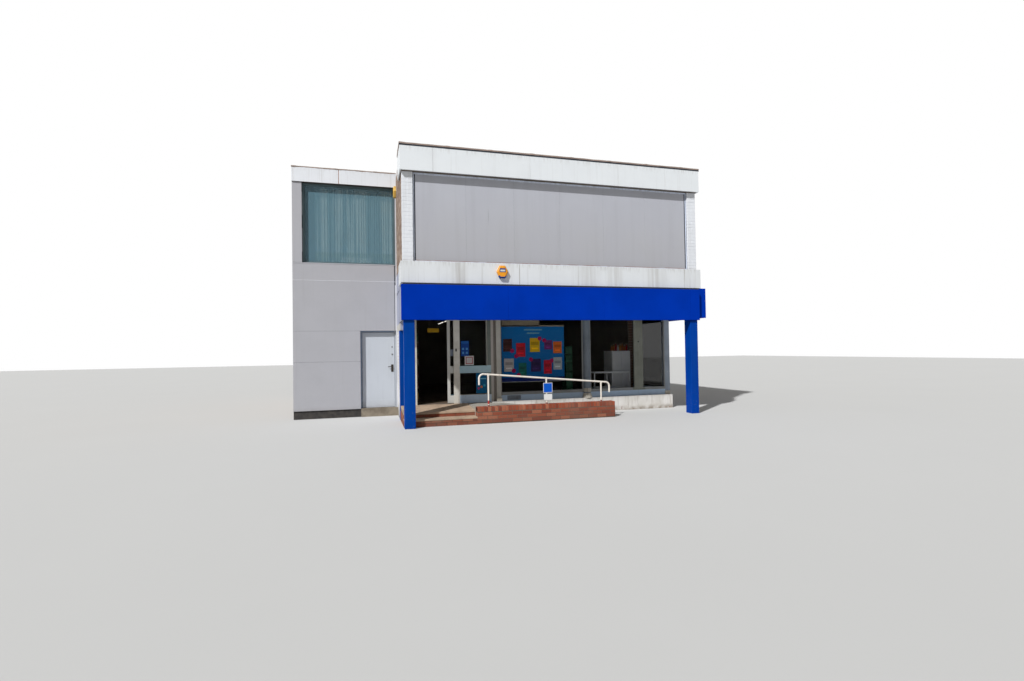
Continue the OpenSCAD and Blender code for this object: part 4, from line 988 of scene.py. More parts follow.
def frame_finish():
    """Window frame: cream at the door, brown beside the side screen, grey to the right of the
    first panes and olive on the wide mullion; the darker brown at the box post's left is painted
    shade."""
    g = Graph("frame_by_place", 0.4)
    wide = g.times(g.maths("GREATER_THAN", g.x, 6.3), g.maths("LESS_THAN", g.x, 6.68))
    right = g.maths("GREATER_THAN", g.x, corners("shop_glass")[0].x + 1.1)
    grey = g.mix(g.noise(3.0, 5.0), (150, 152, 152), (128, 130, 130))
    olive = g.cloud(2.4, 5.0, 0.35, 0.7, (126, 129, 117), (108, 110, 98))
    cream = g.cloud(2.0, 5.0, 0.35, 0.7, (214, 210, 198), (190, 184, 170))
    beside = g.maths("GREATER_THAN", g.x, SCREEN_HIGH.x - 0.001)
    box_right = g.maths("GREATER_THAN", g.x, SCREEN_HIGH.x + 0.065)
    # The dark brown on the box post's first few centimetres beside the screen is painted shade.
    brown = g.mix(box_right, (170, 164, 158), (110, 103, 96))
    cream = g.mix(beside, cream, brown)
    worn = g.times(g.span(g.noise(34.0, 5.0), 0.62, 0.7), 0.5)
    colour = g.mix(wide, g.mix(right, cream, grey), olive)
    g.bump(g.noise(180.0, 3.0), 0.0005)
    return g.finish(g.mix(worn, colour, (96, 88, 76)), g.span(g.noise(6.0), 0.3, 0.7, 0.3, 0.5))


def post_finish():
    """Posts: white box post, grey round post and pale corner post, with rust runs low down."""
    g = Graph("post_paint", 0.4)
    round_post = g.band(g.x, ROUND_POST_X, 0.2)
    first = g.maths("LESS_THAN", g.x, 3.0)
    grey = g.cloud(2.0, 5.0, 0.3, 0.7, (114, 126, 136), (96, 106, 116))
    pale = g.cloud(2.0, 5.0, 0.3, 0.7, (154, 165, 179), (130, 141, 156))
    white = g.cloud(2.0, 5.0, 0.3, 0.7, (192, 191, 186), (170, 168, 160))
    body = g.mix(first, g.mix(g.maths("GREATER_THAN", round_post, 0.01), pale, grey), white)
    rust = g.times(g.span(g.runs(30.0, 1.6), 0.5, 0.7), g.span(g.z, 0.75, 0.4))
    g.bump(g.noise(150.0, 3.0), 0.0006)
    return g.finish(g.mix(g.times(rust, 0.7), body, (104, 84, 62)),
                    g.span(g.noise(8.0), 0.3, 0.7, 0.32, 0.5))


def plinth_finish():
    """Painted render with grime, streaks and chips down to the brick near the ground."""
    g = Graph("plinth_paint", 0.6)
    base = g.cloud(1.6, 5.0, 0.35, 0.7, (223, 220, 216), (203, 199, 192))
    grime = g.times(g.span(g.z, 0.16, 0.0), g.span(g.noise(6.0, 6.0), 0.25, 0.7))
    streak = g.times(g.span(g.runs(16.0, 1.4), 0.5, 0.72), 0.45)
    chip = g.times(g.span(g.noise(7.5, 5.0), 0.655, 0.665), g.span(g.z, 0.2, 0.1))
    colour = g.mix(g.most(grime, streak), base, (128, 114, 98))
    g.bump(g.maths("SUBTRACT", 1.0, chip), 0.004)
    g.bump(g.noise(55.0, 5.0), 0.0015)
    return g.finish(g.mix(chip, colour, (132, 78, 58)), 0.6)

def shopfront():
    """Frames, posts, glass, riser and plinth of the shopfront."""
    frame_paint = paint("frame_paint", (192, 192, 187), soil=(110, 100, 86), streaks=0.35,
                        patch=0.1, roughness=0.35, ground=0.5)
    rubber = plastic("black_gasket", (22, 22, 24), 0.6)
    by_place, screen_paint = frame_finish(), screen_finish()
    dark = clear_glass("shop_glass", (12, 12, 12), 0.12, 1.2, 0.72)
    for node, material in (
            ("shopfront_frame", by_place), ("fixed_side_screen", screen_paint),
            ("sliding_door_leaf", frame_paint), ("shop_glass", dark),
            ("sliding_door_glass", dark), ("shopfront_posts", post_finish()),
            ("sliding_door_track", metal("track_metal", (178, 178, 176), 0.4)),
            ("shopfront_bulkhead", concrete("bulkhead_plaster", (176, 172, 162)))):
        finish_node(node, material)

    low, high = corners("shopfront_posts")
    feet = Shape()
    centre = (ROUND_POST_X, GLAZING, 0)
    feet.lathe(centre, [(0.1, 0.63), (0.109, 0.622), (0.111, 0.56), (0.108, 0.545), (0.101, 0.53)],
               32)
    feet.lathe(centre, [(0.101, 0.50), (0.114, 0.47), (0.137, 0.40), (0.14, PLINTH_TOP)], 32)
    feet.box((low.x - 0.012, low.y - 0.012, PLINTH_TOP),
             (low.x + 0.128, low.y + 0.05, PLINTH_TOP + 0.09), 0.008)
    feet.box((high.x - CORNER_POST_W - 0.01, GLAZING - 0.012, PLINTH_TOP),
             (high.x + 0.006, GLAZING + 0.02, PLINTH_TOP + 0.1), 0.008)
    for z in (1.0, 1.75):
        feet.lathe((high.x - CORNER_POST_W / 2, GLAZING, z), [(0.009, 0.0), (0.008, -0.003)], 10, 1)
    feet.make("post_feet", paint("post_feet", (216, 210, 196), soil=(96, 76, 56), streaks=0.7,
                                 patch=0.3, ground=0.62), "shop_frame")

    trims = Shape()
    bar_top = SOFFIT - SHOP_BAR
    post_a_end = corners("window_riser_panel")[0].x
    round_l, round_r = ROUND_POST_X - ROUND_POST_R, ROUND_POST_X + ROUND_POST_R
    corner_x = high.x - CORNER_POST_W
    panes = ((post_a_end + SIDE_BAR, round_l - SIDE_BAR), (round_r + SIDE_BAR, MULLION_L),
             (MULLION_R, corner_x - SIDE_BAR))
    for x0, x1 in panes:
        beads(trims, (x0, FRAME_LOW + SHOP_BAR), (x1, bar_top), GLASS_Y)
    # Sill nosing under the panes
    for x0, x1 in ((post_a_end, round_l), (round_r, corner_x)):
        trims.box((x0, GLAZING - 0.018, FRAME_LOW - 0.012), (x1, GLAZING, FRAME_LOW + 0.01), 0.004)
    # Cover strip and screws of the wide mullion
    trims.box((MULLION_L + 0.1, GLAZING - 0.004, FRAME_LOW + 0.06),
              (MULLION_L + 0.16, GLAZING, bar_top), 0.0015)
    trims.lathe(((MULLION_L + MULLION_R) / 2, GLAZING - 0.004, 1.86),
                [(0.02, 0.0), (0.018, -0.008), (0.006, -0.010)], 16, 1, slot=1)
    for x, z in ((2.345, 1.2), (2.345, 2.0), (0.32, 1.3), (0.32, 2.1)):
        trims.lathe((x, GLAZING, z), [(0.01, 0.0), (0.009, -0.003)], 10, 1)
    trims.make("shopfront_trims", [by_place, rubber], "shop_frame")

    screen = Shape()
    x0, x1 = SCREEN_LOW.x + 0.145, SCREEN_HIGH.x - 0.097
    beads(screen, (x0, SHOP_FLOOR + 0.2), (x1, MID_RAIL_LOW), GLASS_Y)
    beads(screen, (x0, MID_RAIL_HIGH), (x1, SOFFIT - 0.09), GLASS_Y)
    screen.box((SCREEN_LOW.x + 0.02, GLAZING - 0.003, SHOP_FLOOR + 0.02),
               (SCREEN_HIGH.x - 0.02, GLAZING, SHOP_FLOOR + 0.12), 0.001)
    screen.box((SCREEN_LOW.x + 0.042, GLAZING - 0.008, 1.665),
               (SCREEN_LOW.x + 0.078, GLAZING, 1.74), 0.004, slot=1)
    screen.make("side_screen_beads", [screen_paint, rubber], "shop_frame")

    leaf = Shape()
    l_low, l_high = corners("sliding_door_leaf")
    g_low, g_high = corners("sliding_door_glass")
    beads(leaf, (g_low.x, g_low.z), (g_high.x, MID_RAIL_LOW), g_low.y)
    beads(leaf, (g_low.x, MID_RAIL_HIGH), (g_high.x, g_high.z), g_low.y)
    for inset, z0, z1, slot in ((0.01, 1.55, 1.72, 2), (0.006, 0.475, 0.585, 3)):
        leaf.box((g_low.x + inset, l_low.y + 0.002, z0), (g_low.x + 0.1, l_low.y + 0.014, z1),
                 0.003, slot=slot)
    leaf.box((l_low.x - 0.006, l_low.y + 0.012, l_low.z + 0.02), (l_low.x, l_high.y - 0.028, 2.48),
             slot=1)
    leaf.make("sliding_leaf_fittings", [frame_paint, rubber, plastic("lock_case", (104, 112, 126)),
                                        plastic("stop_case", (24, 58, 70))],
              "shop_frame", "sliding_door")

    riser = paint("riser_paint", (180, 202, 226), soil=(96, 92, 88), streaks=0.35, patch=0.12,
                  ground=0.56)
    finish_node("window_riser_panel", riser)
    vent = Shape()
    x0, x1, z0, z1 = 2.70, 3.06, 0.397, 0.507
    vent.frame((x0, GLAZING - 0.006, z0), (x1, GLAZING + 0.001, z1), 0.012, 0.002)
    slats = 6
    for k in range(slats):
        z = z0 + 0.014 + (z1 - z0 - 0.028) * (k + 0.5) / slats
        outline = [(GLAZING - 0.006, z - 0.006), (GLAZING + 0.001, z + 0.003),
                   (GLAZING + 0.001, z + 0.005), (GLAZING - 0.006, z - 0.004)]
        vent.prism(outline, x0 + 0.01, x1 - 0.01)
    vent.make("riser_vent", paint("vent_paint", (104, 106, 112), streaks=0.5, patch=0.2),
              "riser_paint")

    low, high = corners("shop_plinth")
    inner_y = GLAZING + 0.16
    render = Shape()
    render.box(low, (high.x, inner_y, high.z), 0.005)
    render.box((MAIN_W - WALL_T, inner_y - 0.001, low.z),
               (high.x - 0.0005, high.y, high.z - 0.0005), 0.005)
    render.make("plinth_render", plinth_finish(), "white_paint", replaces=["shop_plinth"])


def sticker(shape, x0, x1, z0, z1, y, ink, lift=PRINT_T):
    """A thin flat print that faces the street."""
    shape.box((x0, y - lift, z0), (x1, y, z1), ink=ink)


def prints():
    """Bare notices on the side screen and the banner behind the window, with plain shapes."""
    ink = printed("printed_film")
    notices = Shape()
    # Each print: its sides, how many prints lie under it, and its colour
    for x0, x1, z0, z1, under, colour in (
            (1.511, 1.711, 1.546, 1.929, 0, (20, 66, 140)),
            (1.518, 1.704, 1.86, 1.922, 1, (36, 92, 168)),
            *((x, x + 0.052, z, z + 0.055, 1, (80, 140, 200))
              for z in (1.60, 1.70) for x in (1.535, 1.63)),
            (1.60, 1.832, 1.318, 1.55, 0, (206, 206, 206)),
            (1.625, 1.807, 1.343, 1.525, 1, (158, 70, 76)),
            (1.645, 1.787, 1.363, 1.505, 2, (196, 192, 192)),
            (1.886, 2.189, 0.592, 1.105, 0, (12, 96, 140))):
        sticker(notices, x0, x1, z0, z1, GLASS_Y - under * PRINT_T, colour)
    for k, colour in enumerate(((196, 60, 110), (210, 120, 60), (60, 160, 190))):
        notices.lathe((1.95 + 0.075 * k, GLASS_Y - PRINT_T, 0.72 + 0.035 * k),
                      [(0.03, 0.0), (0.03, -PRINT_T)], 20, 1, ink=colour)
    sticker(notices, 1.93, 2.15, 0.95, 0.975, GLASS_Y - PRINT_T, (120, 190, 214))
    notices.make("screen_notices", ink, "banner")

    banner = Shape()
    low, high = corners("display_banner")
    box_low = 2.29
    front = (low.y + high.y) / 2 - 0.006
    hem = low.z + 0.115
    x0, x1 = low.x, high.x
    deep, bright = srgb(0, 112, 190), srgb(8, 126, 206)
    bands, thick = 10, 0.012
    for k in range(bands):
        z0 = hem + (box_low - hem) * k / bands
        z1 = hem + (box_low - hem) * (k + 1) / bands
        mixed = tuple(a + (b - a) * k / bands for a, b in zip(deep, bright))
        banner.box((x0, front, z0), (x1, front + thick, z1), ink=mixed)
    banner.box((x0, front, low.z), (x1, front + thick, hem), ink=(8, 40, 120))
    banner.lathe((x0, front + 0.006, low.z + 0.006), [(0.009, 0.0), (0.009, x1 - x0)], 12, 0,
                 ink=(210, 210, 206))
    # Each card: its place from the banner's lower left, width, height and colour, and which of
    # its corners has a round tag, or -1 for none
    cards = (
        (0.05, 0.86, 0.24, 0.33, (74, 38, 34), 1), (0.40, 0.72, 0.25, 0.36, (226, 34, 52), 0),
        (0.78, 0.84, 0.27, 0.37, (255, 206, 20), 3), (1.18, 0.90, 0.22, 0.25, (120, 48, 120), 2),
        (1.43, 0.80, 0.24, 0.31, (246, 122, 40), -1), (0.07, 0.34, 0.26, 0.34, (210, 206, 206), 1),
        (0.46, 0.22, 0.22, 0.34, (30, 120, 110), 0), (0.80, 0.32, 0.28, 0.34, (58, 40, 96), 2),
        (1.16, 0.26, 0.22, 0.36, (218, 34, 60), 3), (1.43, 0.36, 0.24, 0.33, (196, 206, 210), -1))
    corners_at = ((0.0, 0.0), (1.0, 0.0), (0.0, 1.0), (1.0, 1.0))
    for dx, dz, w, h, colour, tag in cards:
        cx, cz = x0 + dx, low.z + dz - 0.06
        sticker(banner, cx, cx + w, cz, cz + h, front, colour, 0.003)
        for side, start, end, factor in ((0.03, 0.5, 0.72, 0.6), (0.05, 0.2, 0.3, 1.7)):
            sticker(banner, cx + side, cx + w - side, cz + h * start, cz + h * end,
                    front - 0.003, shade(srgb(*colour), factor), 0.001)
        if tag >= 0:
            tx, tz = corners_at[tag]
            banner.lathe((cx + tx * w, front - 0.003, cz + tz * h * 0.9 + 0.02),
                         [(0.055, 0.0), (0.055, -0.002)], 24, 1, ink=(190, 16, 92))
    for k, w in enumerate((0.5, 0.34)):
        sticker(banner, (x0 + x1 - w) / 2, (x0 + x1 + w) / 2, box_low - 0.10 - 0.09 * k,
                box_low - 0.065 - 0.09 * k, front, (120, 184, 210), 0.001)
    box_end = low.x + 1.04
    banner.box((low.x, low.y, box_low), (box_end, high.y, high.z), 0.006, slot=1)
    banner.box((low.x + 0.02, low.y - 0.004, box_low + 0.05),
               (box_end - 0.02, low.y, high.z - 0.02), 0.002, slot=1)
    banner.box((low.x, low.y, box_low), (high.x, high.y, box_low + 0.04), 0.004, slot=1)
    blind = paint("blind_box", (150, 140, 118), streaks=0.1)
    banner.make("display_banner_print", [ink, blind], "banner", replaces=["display_banner"])


def entrance():
    """Steps, ramp, brick ramp wall and handrail."""
    low, high = corners("entrance_steps")
    stone = concrete("step_stone", (182, 158, 134), ground=0.06)
    clay = brick_finish("red_brick", ((156, 81, 57), (131, 61, 45), (172, 104, 78)), soil=0.35)
    mortar = concrete("grey_mortar", (106, 88, 74), ground=0.2)
    tread, step_h, nosing, lap = 0.3, 0.172, 0.04, 0.015
    landing = 0.286
    slope = (SHOP_FLOOR - landing) / (GLAZING - tread)
    rand = random.Random(40)
    steps = Shape()
    back = tread + lap + 0.03
    steps.box((WALL_T, lap + PROUD, 0), (high.x, back, step_h - nosing), slot=1)
    steps.box((low.x, COLUMN_BACK, 0), (WALL_T + 0.001, back, step_h - nosing), slot=1)
    steps.prism([(tread + lap + PROUD, 0), (GLAZING, 0), (GLAZING, SHOP_FLOOR - nosing),
                 (tread + lap + PROUD, landing - nosing)], low.x, high.x, slot=1)
    middle = WALL_T + 0.66
    split(steps, (WALL_T, 0.0, step_h - nosing), (high.x, tread + lap, step_h), (middle,),
          0.004, 0.004)
    steps.box((low.x, COLUMN_BACK, step_h - nosing), (WALL_T - 0.002, tread + lap, step_h), 0.004)
    # Stone slabs of the landing: where its rows end, and the two cuts in each row
    rows = [tread, tread + 0.36, tread + 0.68, GLAZING]
    for k, (y0, y1) in enumerate(zip(rows, rows[1:])):
        cuts = [low.x, low.x + (0.5, 0.72, 0.42)[k], low.x + (0.98, 1.1, 1.02)[k], high.x]
        for x0, x1 in zip(cuts, cuts[1:]):
            z0, z1 = (landing + (y - tread) * slope for y in (y0, y1 - 0.004))
            sink = rand.uniform(0, 0.0015)
            steps.prism([(y0, z0 - nosing), (y1 - 0.004, z1 - nosing), (y1 - 0.004, z1 - sink),
                         (y0 + 0.004, z0 - sink), (y0, z0 - 0.005)], x0 + 0.002, x1 - 0.002)
    steps.make("step_stones", [stone, mortar], "step_stone", replaces=["entrance_steps"])
    risers = Shape()
    Wall((WALL_T, lap, 0), (1, 0, 0), 41, risers).courses(high.x - WALL_T, 0.0, step_h - nosing)
    for y, length, top in ((GLAZING, GLAZING - tread - lap, landing - nosing),
                           (tread + lap, tread + lap - COLUMN_BACK, step_h - nosing)):
        Wall((low.x, y, 0), (0, -1, 0), 47, risers).courses(length, 0.0, top)
    upper = Wall((low.x, tread + lap, step_h), (1, 0, 0), 42, risers)
    upper.courses(high.x - low.x, 0.0, BRICK_H)
    risers.make("step_riser_bricks", clay, "red_brick")

    finish_node("entrance_ramp", concrete("ramp_concrete", (164, 158, 148), ground=0.1))
    finish_node("ramp_wall", mortar)
    low, high = corners("ramp_wall")
    rowlock = 0.1025
    base = high.z - rowlock - JOINT - 4 * COURSE
    bricks = Shape()
    for start, along, length, seed in (
            ((low.x, low.y), (1, 0, 0), high.x - low.x, 43),
            ((high.x, low.y), (0, 1, 0), high.y - low.y, 44),
            ((high.x, high.y), (-1, 0, 0), high.x - low.x, 45),
            ((low.x, high.y), (0, -1, 0), high.y - low.y, 46)):
        face = Wall((*start, base), along, seed, bricks)
        face.courses(length, -base, 4 * COURSE, wrap=PROUD)
    count = round((high.x - low.x + JOINT) / COURSE)
    pitch = (high.x - low.x + JOINT) / count
    for k in range(count):
        x = low.x + k * pitch
        dip = rand.uniform(-0.0012, 0.001)
        bricks.box((x, low.y - PROUD, high.z - rowlock), (x + pitch - JOINT, high.y + PROUD,
                                                           high.z + PROUD + dip), 0.004,
                   tone=rand.random())
    bricks.make("ramp_wall_bricks", clay, "red_brick")

    rail = paint("rail_paint", (230, 223, 212), soil=(120, 82, 54), streaks=0.3, patch=0.08,
                 roughness=0.3)
    finish_node("ramp_handrail", rail)
    fittings = Shape()
    rail_y = (low.y + high.y) / 2
    first, pitch, rail_z, fall = 1.928, 1.423, 1.125, 0.090
    for k in range(3):
        x = first + k * pitch
        fittings.lathe((x, rail_y, high.z + PROUD), [
            (0.048, 0.0), (0.048, 0.007), (0.028, 0.010), (0.026, 0.03), (RAIL_R, 0.034)], slot=2)
        for angle in (45, 135, 225, 315):
            bx = x + 0.037 * math.cos(math.radians(angle))
            by = rail_y + 0.037 * math.sin(math.radians(angle))
            fittings.lathe((bx, by, high.z + PROUD + 0.007), [(0.008, 0.0), (0.008, 0.006)], 6)
        z = rail_z - k * pitch * fall
        fittings.lathe((x, rail_y, z - 0.05), [(RAIL_R, 0.0), (0.0235, 0.008), (0.0235, 0.028),
                                               (RAIL_R, 0.034)], 20)
    fittings.lathe((first, rail_y, high.z + 0.06), [(0.0196, 0.0), (0.0199, 0.002), (0.0199, 0.075),
                                                    (0.0196, 0.08)], 20, slot=1)
    red = paint("rail_red", (178, 44, 40), streaks=0.3)
    foot = paint("rail_foot", (118, 56, 44), soil=(80, 46, 34), streaks=0.5, patch=0.25)
    fittings.make("handrail_fittings", [rail, red, foot], "rail_paint")
    plates = Shape()
    y = rail_y - RAIL_R
    plates.box((3.264, y - 0.004, 0.650), (3.493, y - 0.001, 0.885), 0.001, ink=(232, 232, 230))
    sticker(plates, 3.274, 3.483, 0.660, 0.875, y - 0.004, (0, 84, 190))
    plates.box((3.274, y - 0.004, 0.468), (3.490, y - 0.001, 0.622), 0.001, ink=(176, 180, 184))
    sticker(plates, 3.282, 3.482, 0.476, 0.614, y - 0.004, (226, 226, 224))
    plates.make("handrail_plates", printed("plate_print"), "rail_paint")
    clips = Shape()
    for z in (0.69, 0.83, 0.49, 0.58):
        clips.lathe((first + pitch, rail_y, z), [(RAIL_R, 0.0), (0.0225, 0.002), (0.0225, 0.016),
                                                 (RAIL_R, 0.018)], 20)
    clips.make("handrail_plate_clips", metal("clip_metal", (150, 150, 150), 0.4), "track_metal")


def wing():
    """Cladding, fascia, base and door of the wing."""
    clad = paint("cladding_paint", (170, 170, 175), soil=(128, 122, 116), streaks=0.1, patch=0.05,
                 roughness=0.5, ground=0.35)
    joint = paint("cladding_joint", (70, 72, 80), streaks=0.2)
    for node in ("wing_wall_over_door", "wing_wall_beside_door"):
        finish_node(node, joint)
    base_z = corners("wing_base")[0].z + 0.209
    (door_l, _, door_z), (door_r, _, _) = corners("wing_door_frame")
    door_top, head = corners("wing_wall_over_door")[0].z, corners("wing_fascia")[0].z
    y0, y1 = WING_FRONT - 0.005, WING_FRONT
    # Half a joint between sheets, the heights of the joints, and the strip beside the main block
    half = 0.0018
    joint_low, joint_high, trim_z = 1.447, 3.539, 3.45
    sheets = Shape()
    strip_x, strip_gap = -0.054, 0.014
    # Sheets of cladding: left, right, lower and upper edge
    areas = (
        (-WING_W, door_l, base_z, joint_low), (-WING_W, door_l, joint_low, door_top),
        (-WING_W, strip_x - strip_gap, door_top, joint_high),
        (-WING_W, strip_x - strip_gap, joint_high, SILL_Z + 0.015),
        (-WING_W, WING_WINDOW_L, SILL_Z + 0.015, head))
    for x0, x1, z0, z1 in areas:
        sheets.box((x0 + half, y0, z0 + half), (x1 - half, y1, z1 - half), 0.0015)
    sheets.box((-WING_W, y0 - 0.003, joint_high - 0.007), (door_r, y0, joint_high + 0.007),
               0.001, slot=1)
    sheets.box((-WING_W, y0 - 0.008, SILL_Z - 0.004),
               (WING_WINDOW_R, WING_FRONT + 0.09, SILL_Z + 0.003), 0.001, slot=1)
    pale = paint("trim_paint", (206, 207, 212), streaks=0.2)
    sheets.box((strip_x, y0, door_top + half), (0.0, y1, trim_z), 0.0015, slot=1)
    sheets.box((WING_WINDOW_R + 0.002, y0 - 0.004, trim_z), (0.0, y1, head), 0.002, slot=1)
    sheets.box((door_r + 0.001, y0 - 0.004, door_z), (-0.001, y1, door_top), 0.002, slot=1)
    for z in (SILL_Z + 0.3, 5.2):
        sheets.box((WING_WINDOW_L - 0.004, y0 + 0.004, z),
                   (WING_WINDOW_L, WING_FRONT + 0.088, z + 0.6), slot=1)
    sheets.make("wing_cladding_sheets", [clad, pale], "grey_cladding")

    low, high = corners("wing_fascia")
    white = paint("wing_fascia_paint", (230, 233, 238), soil=(130, 118, 100), streaks=0.25,
                  patch=0.05, top=high.z, edge=0.1)
    rusty = paint("rusty_joint", (176, 116, 84), soil=(110, 62, 36), streaks=0.8, patch=0.3)
    finish_node("wing_fascia", rusty)
    boards = Shape()
    split(boards, (low.x, low.y - 0.006, low.z), (high.x, low.y, high.z), (-1.448,), 0.014, 0.002)
    for x in (low.x - 0.004, high.x - 0.001):
        boards.box((x, low.y - 0.005, low.z), (x + 0.005, high.y, high.z), 0.001)
    # The boards under the fascia and over the window's head are painted dark as painted shade.
    boards.box((low.x, low.y + 0.001, low.z - 0.004), (high.x, low.y + 0.03, low.z), slot=1)
    boards.box((WING_WINDOW_L, low.y + 0.025, low.z - 0.004),
               (WING_WINDOW_R, WING_FRONT + 0.088, low.z + 0.001), slot=1)
    dark = paint("wing_fascia_underside", (70, 64, 58), streaks=0.2)
    boards.make("wing_fascia_boards", [white, dark], "white_paint")

    g = Graph("wing_base", 0.9)
    concrete_part = g.maths("GREATER_THAN", g.x, door_l + 0.003)
    tar = g.cloud(9.0, 5.0, 0.3, 0.7, (44, 42, 42), (66, 62, 58))
    cast = g.cloud(6.0, 6.0, 0.3, 0.7, (140, 130, 114), (112, 102, 88))
    g.bump(g.noise(70.0, 5.0), 0.003)
    finish_node("wing_base", g.finish(g.mix(concrete_part, tar, cast)))
    door = paint("door_paint", (191, 196, 203), soil=(140, 138, 136), streaks=0.2, patch=0.05,
                 roughness=0.4, ground=0.5, splash=0.3)
    finish_node("wing_door_leaf", door)
    g = Graph("door_frame_paint", 0.4)
    # The frame is white like the door: its left jamb and head are painted blue-grey as painted
    # shade, and only the right jamb keeps the white.
    tone = g.cloud(2.0, 4.0, 0.35, 0.7, (140, 156, 178), (126, 140, 162))
    right_jamb = g.maths("GREATER_THAN", g.x, door_r - 0.05)
    g.bump(g.noise(200.0, 2.0), 0.0005)
    finish_node("wing_door_frame", g.finish(g.mix(right_jamb, tone, (186, 192, 200))))
    steel = metal("handle_steel", (84, 78, 72), 0.4)
    finish_node("wing_door_handles", steel)
    low, high = corners("wing_door_leaf")
    face, lock_z, handle_x = DOOR_FACE, 1.315, high.x - 0.06
    kit = Shape()
    kit.box((low.x + 0.08, face - 0.0025, low.z + 0.03),
            (high.x - 0.05, face + 0.0005, low.z + 0.2), 0.001, slot=1)
    kit.box((handle_x - 0.03, face - 0.0095, 1.15), (handle_x + 0.03, face - 0.0005, 1.345), 0.003)
    kit.lathe((handle_x, face - 0.008, lock_z),
              [(0.012, 0.0), (0.011, -0.004), (0.004, -0.0045)], 16, 1)
    for z in (1.17, lock_z + 0.02):
        kit.lathe((handle_x, face - 0.008, z), [(0.004, 0.0), (0.0035, -0.0015)], 10, 1)
    kit.lathe((handle_x, face - 0.012, 1.615), [(0.011, 0.0), (0.0105, -0.003)], 16, 1)
    kit.box((handle_x - 0.0015, face - 0.016, 1.607), (handle_x + 0.0015, face - 0.0145, 1.623))
    kit.box((handle_x - 0.012, face - 0.002, 1.79), (handle_x + 0.012, face, 1.83), 0.001)
    kit.make("wing_door_kit", [steel, door], "handle_metal", "wing_door")


def curtain():
    """Net curtain: gathered at its rail, with irregular folds that open towards the hem."""
    low, high = corners("wing_curtain")
    bare_strip = 0.28
    x0, x1 = low.x + bare_strip, high.x
    middle, depth = (low.y + high.y) / 2, (high.y - low.y) / 2 - 0.002
    rand = random.Random(50)
    columns, rows = 460, 26
    waves = [(rand.uniform(5.0, 18.0), rand.uniform(0.4, 1.0), rand.uniform(0, math.tau))
             for _ in range(9)]
    scale = depth / (sum(w[1] for w in waves) * 0.52)

    def fold(x, t):
        """Sideways place of the cloth at x, a share t of the way down."""
        total = 0.0
        for pitch, size, phase in waves:
            drift = 0.35 * math.sin(t * 2.2 + phase)
            total += size * math.sin(math.tau * pitch * (x - x0) + phase + drift)
        total *= scale * (0.75 + 0.25 * t)
        return max(-depth, min(depth, total))
    across = [x0 + (x1 - x0) * i / columns for i in range(columns + 1)]
    points = [(x, middle + fold(x, j / rows), high.z + (low.z - high.z) * (j / rows))
              for j in range(rows + 1) for x in across]
    starts = [j * (columns + 1) + i for j in range(rows) for i in range(columns)]
    for t in (0.0, 0.5, 1.0):
        places = [Vector((x, fold(x, t))) for x in across]
    cloth = Shape()
    cloth.add(points, [(a, a + 1, a + columns + 2, a + columns + 1) for a in starts])
    piece = cloth.make("net_curtain", net_finish("net"), "net", replaces=["wing_curtain"],
                       smooth=180)


def windows():
    """Frames with beads and bars, and their glass."""
    dark = paint("window_frame_paint", (80, 100, 106), soil=(52, 56, 54), streaks=0.2)
    finish_node("window_frames", dark)
    # The teal tint of the window glass is partly the glass's own tint and partly a painted
    # reflection of the sky.
    finish_node("window_glass", clear_glass("window_glass", (112, 152, 168), 0.4, 1.4))
    bars = Shape()
    beads(bars, (WING_WINDOW_L + WINDOW_BAR, SILL_Z + WINDOW_BAR),
          (WING_WINDOW_R - WINDOW_BAR, corners("wing_fascia")[0].z - WINDOW_BAR),
          corners("window_glass")[0].y, 0)
    z0, z1 = PLAIN_Z + WINDOW_BAR, PLAIN_Z + PLAIN_W - WINDOW_BAR
    transom = z1 - 0.34
    frame_d, bar = 0.06, 0.05
    for x in REAR_WINDOWS:
        y1 = MAIN_D - PLAIN_BACK
        centre = x + PLAIN_W / 2
        bars.box((centre - bar / 2, y1 - frame_d, z0), (centre + bar / 2, y1, z1), 0.004)
        bars.box((x + WINDOW_BAR, y1 - frame_d, transom),
                 (centre - bar / 2, y1, transom + bar), 0.004)
    for y in SIDE_WINDOWS:
        x1 = MAIN_W - PLAIN_BACK
        centre = y + PLAIN_W / 2
        bars.box((x1 - frame_d, centre - bar / 2, z0), (x1, centre + bar / 2, z1), 0.004)
        bars.box((x1 - frame_d, y + WINDOW_BAR, transom),
                 (x1, centre - bar / 2, transom + bar), 0.004)
    bars.make("window_bars", dark, "window_frame")


def alarm_box(shape, place, cover=0, banded=True):
    """Six-sided bell box: cover, back plate and, if banded, a blue foot and a bare plate."""
    w, h, d = 0.27, 0.285, 0.08
    full = [(-w / 2, 0), (-w / 4, -h / 2), (w / 4, -h / 2),
            (w / 2, 0), (w / 4, h / 2), (-w / 4, h / 2)]

    def scaled(ring, k):
        return [(a * k, b * k) for a, b in ring]

    def body(rings, slot):
        points = [place(a, depth, b) for ring, depth in rings for a, b in ring]
        size = (len(rings), len(rings[0][0]))
        shape.convex(points, bridge(*size) + caps(*size), slot=slot)
    body([(scaled(full, 0.97), 0.0), (scaled(full, 0.97), 0.012)], 2)
    body([(full, 0.012), (full, 0.056), (scaled(full, 0.94), 0.07), (scaled(full, 0.78), d)], cover)
    if not banded:
        return
    band_z, rim = -h / 2 + h * 0.17, w / 4 + w / 4 * 0.34
    foot = [(-rim - 0.002, band_z), (-w / 4 - 0.002, -h / 2 - 0.002),
            (w / 4 + 0.002, -h / 2 - 0.002), (rim + 0.002, band_z)]
    inner = [(a * 0.88, b * 0.9) for a, b in foot]
    body([(foot, 0.012), (foot, 0.058), (inner, 0.0795)], 1)
    mid = h * 0.12
    for a, low, high, back, front, slot in ((0.07, mid - 0.045, mid + 0.045, -0.001, 0.002, 1),
                                            (0.055, mid - 0.028, mid + 0.012, 0.002, 0.003, 2)):
        plate = [(-a, low), (a, low), (a, high), (-a, high)]
        body([(plate, d + back), (plate, d + front)], slot)


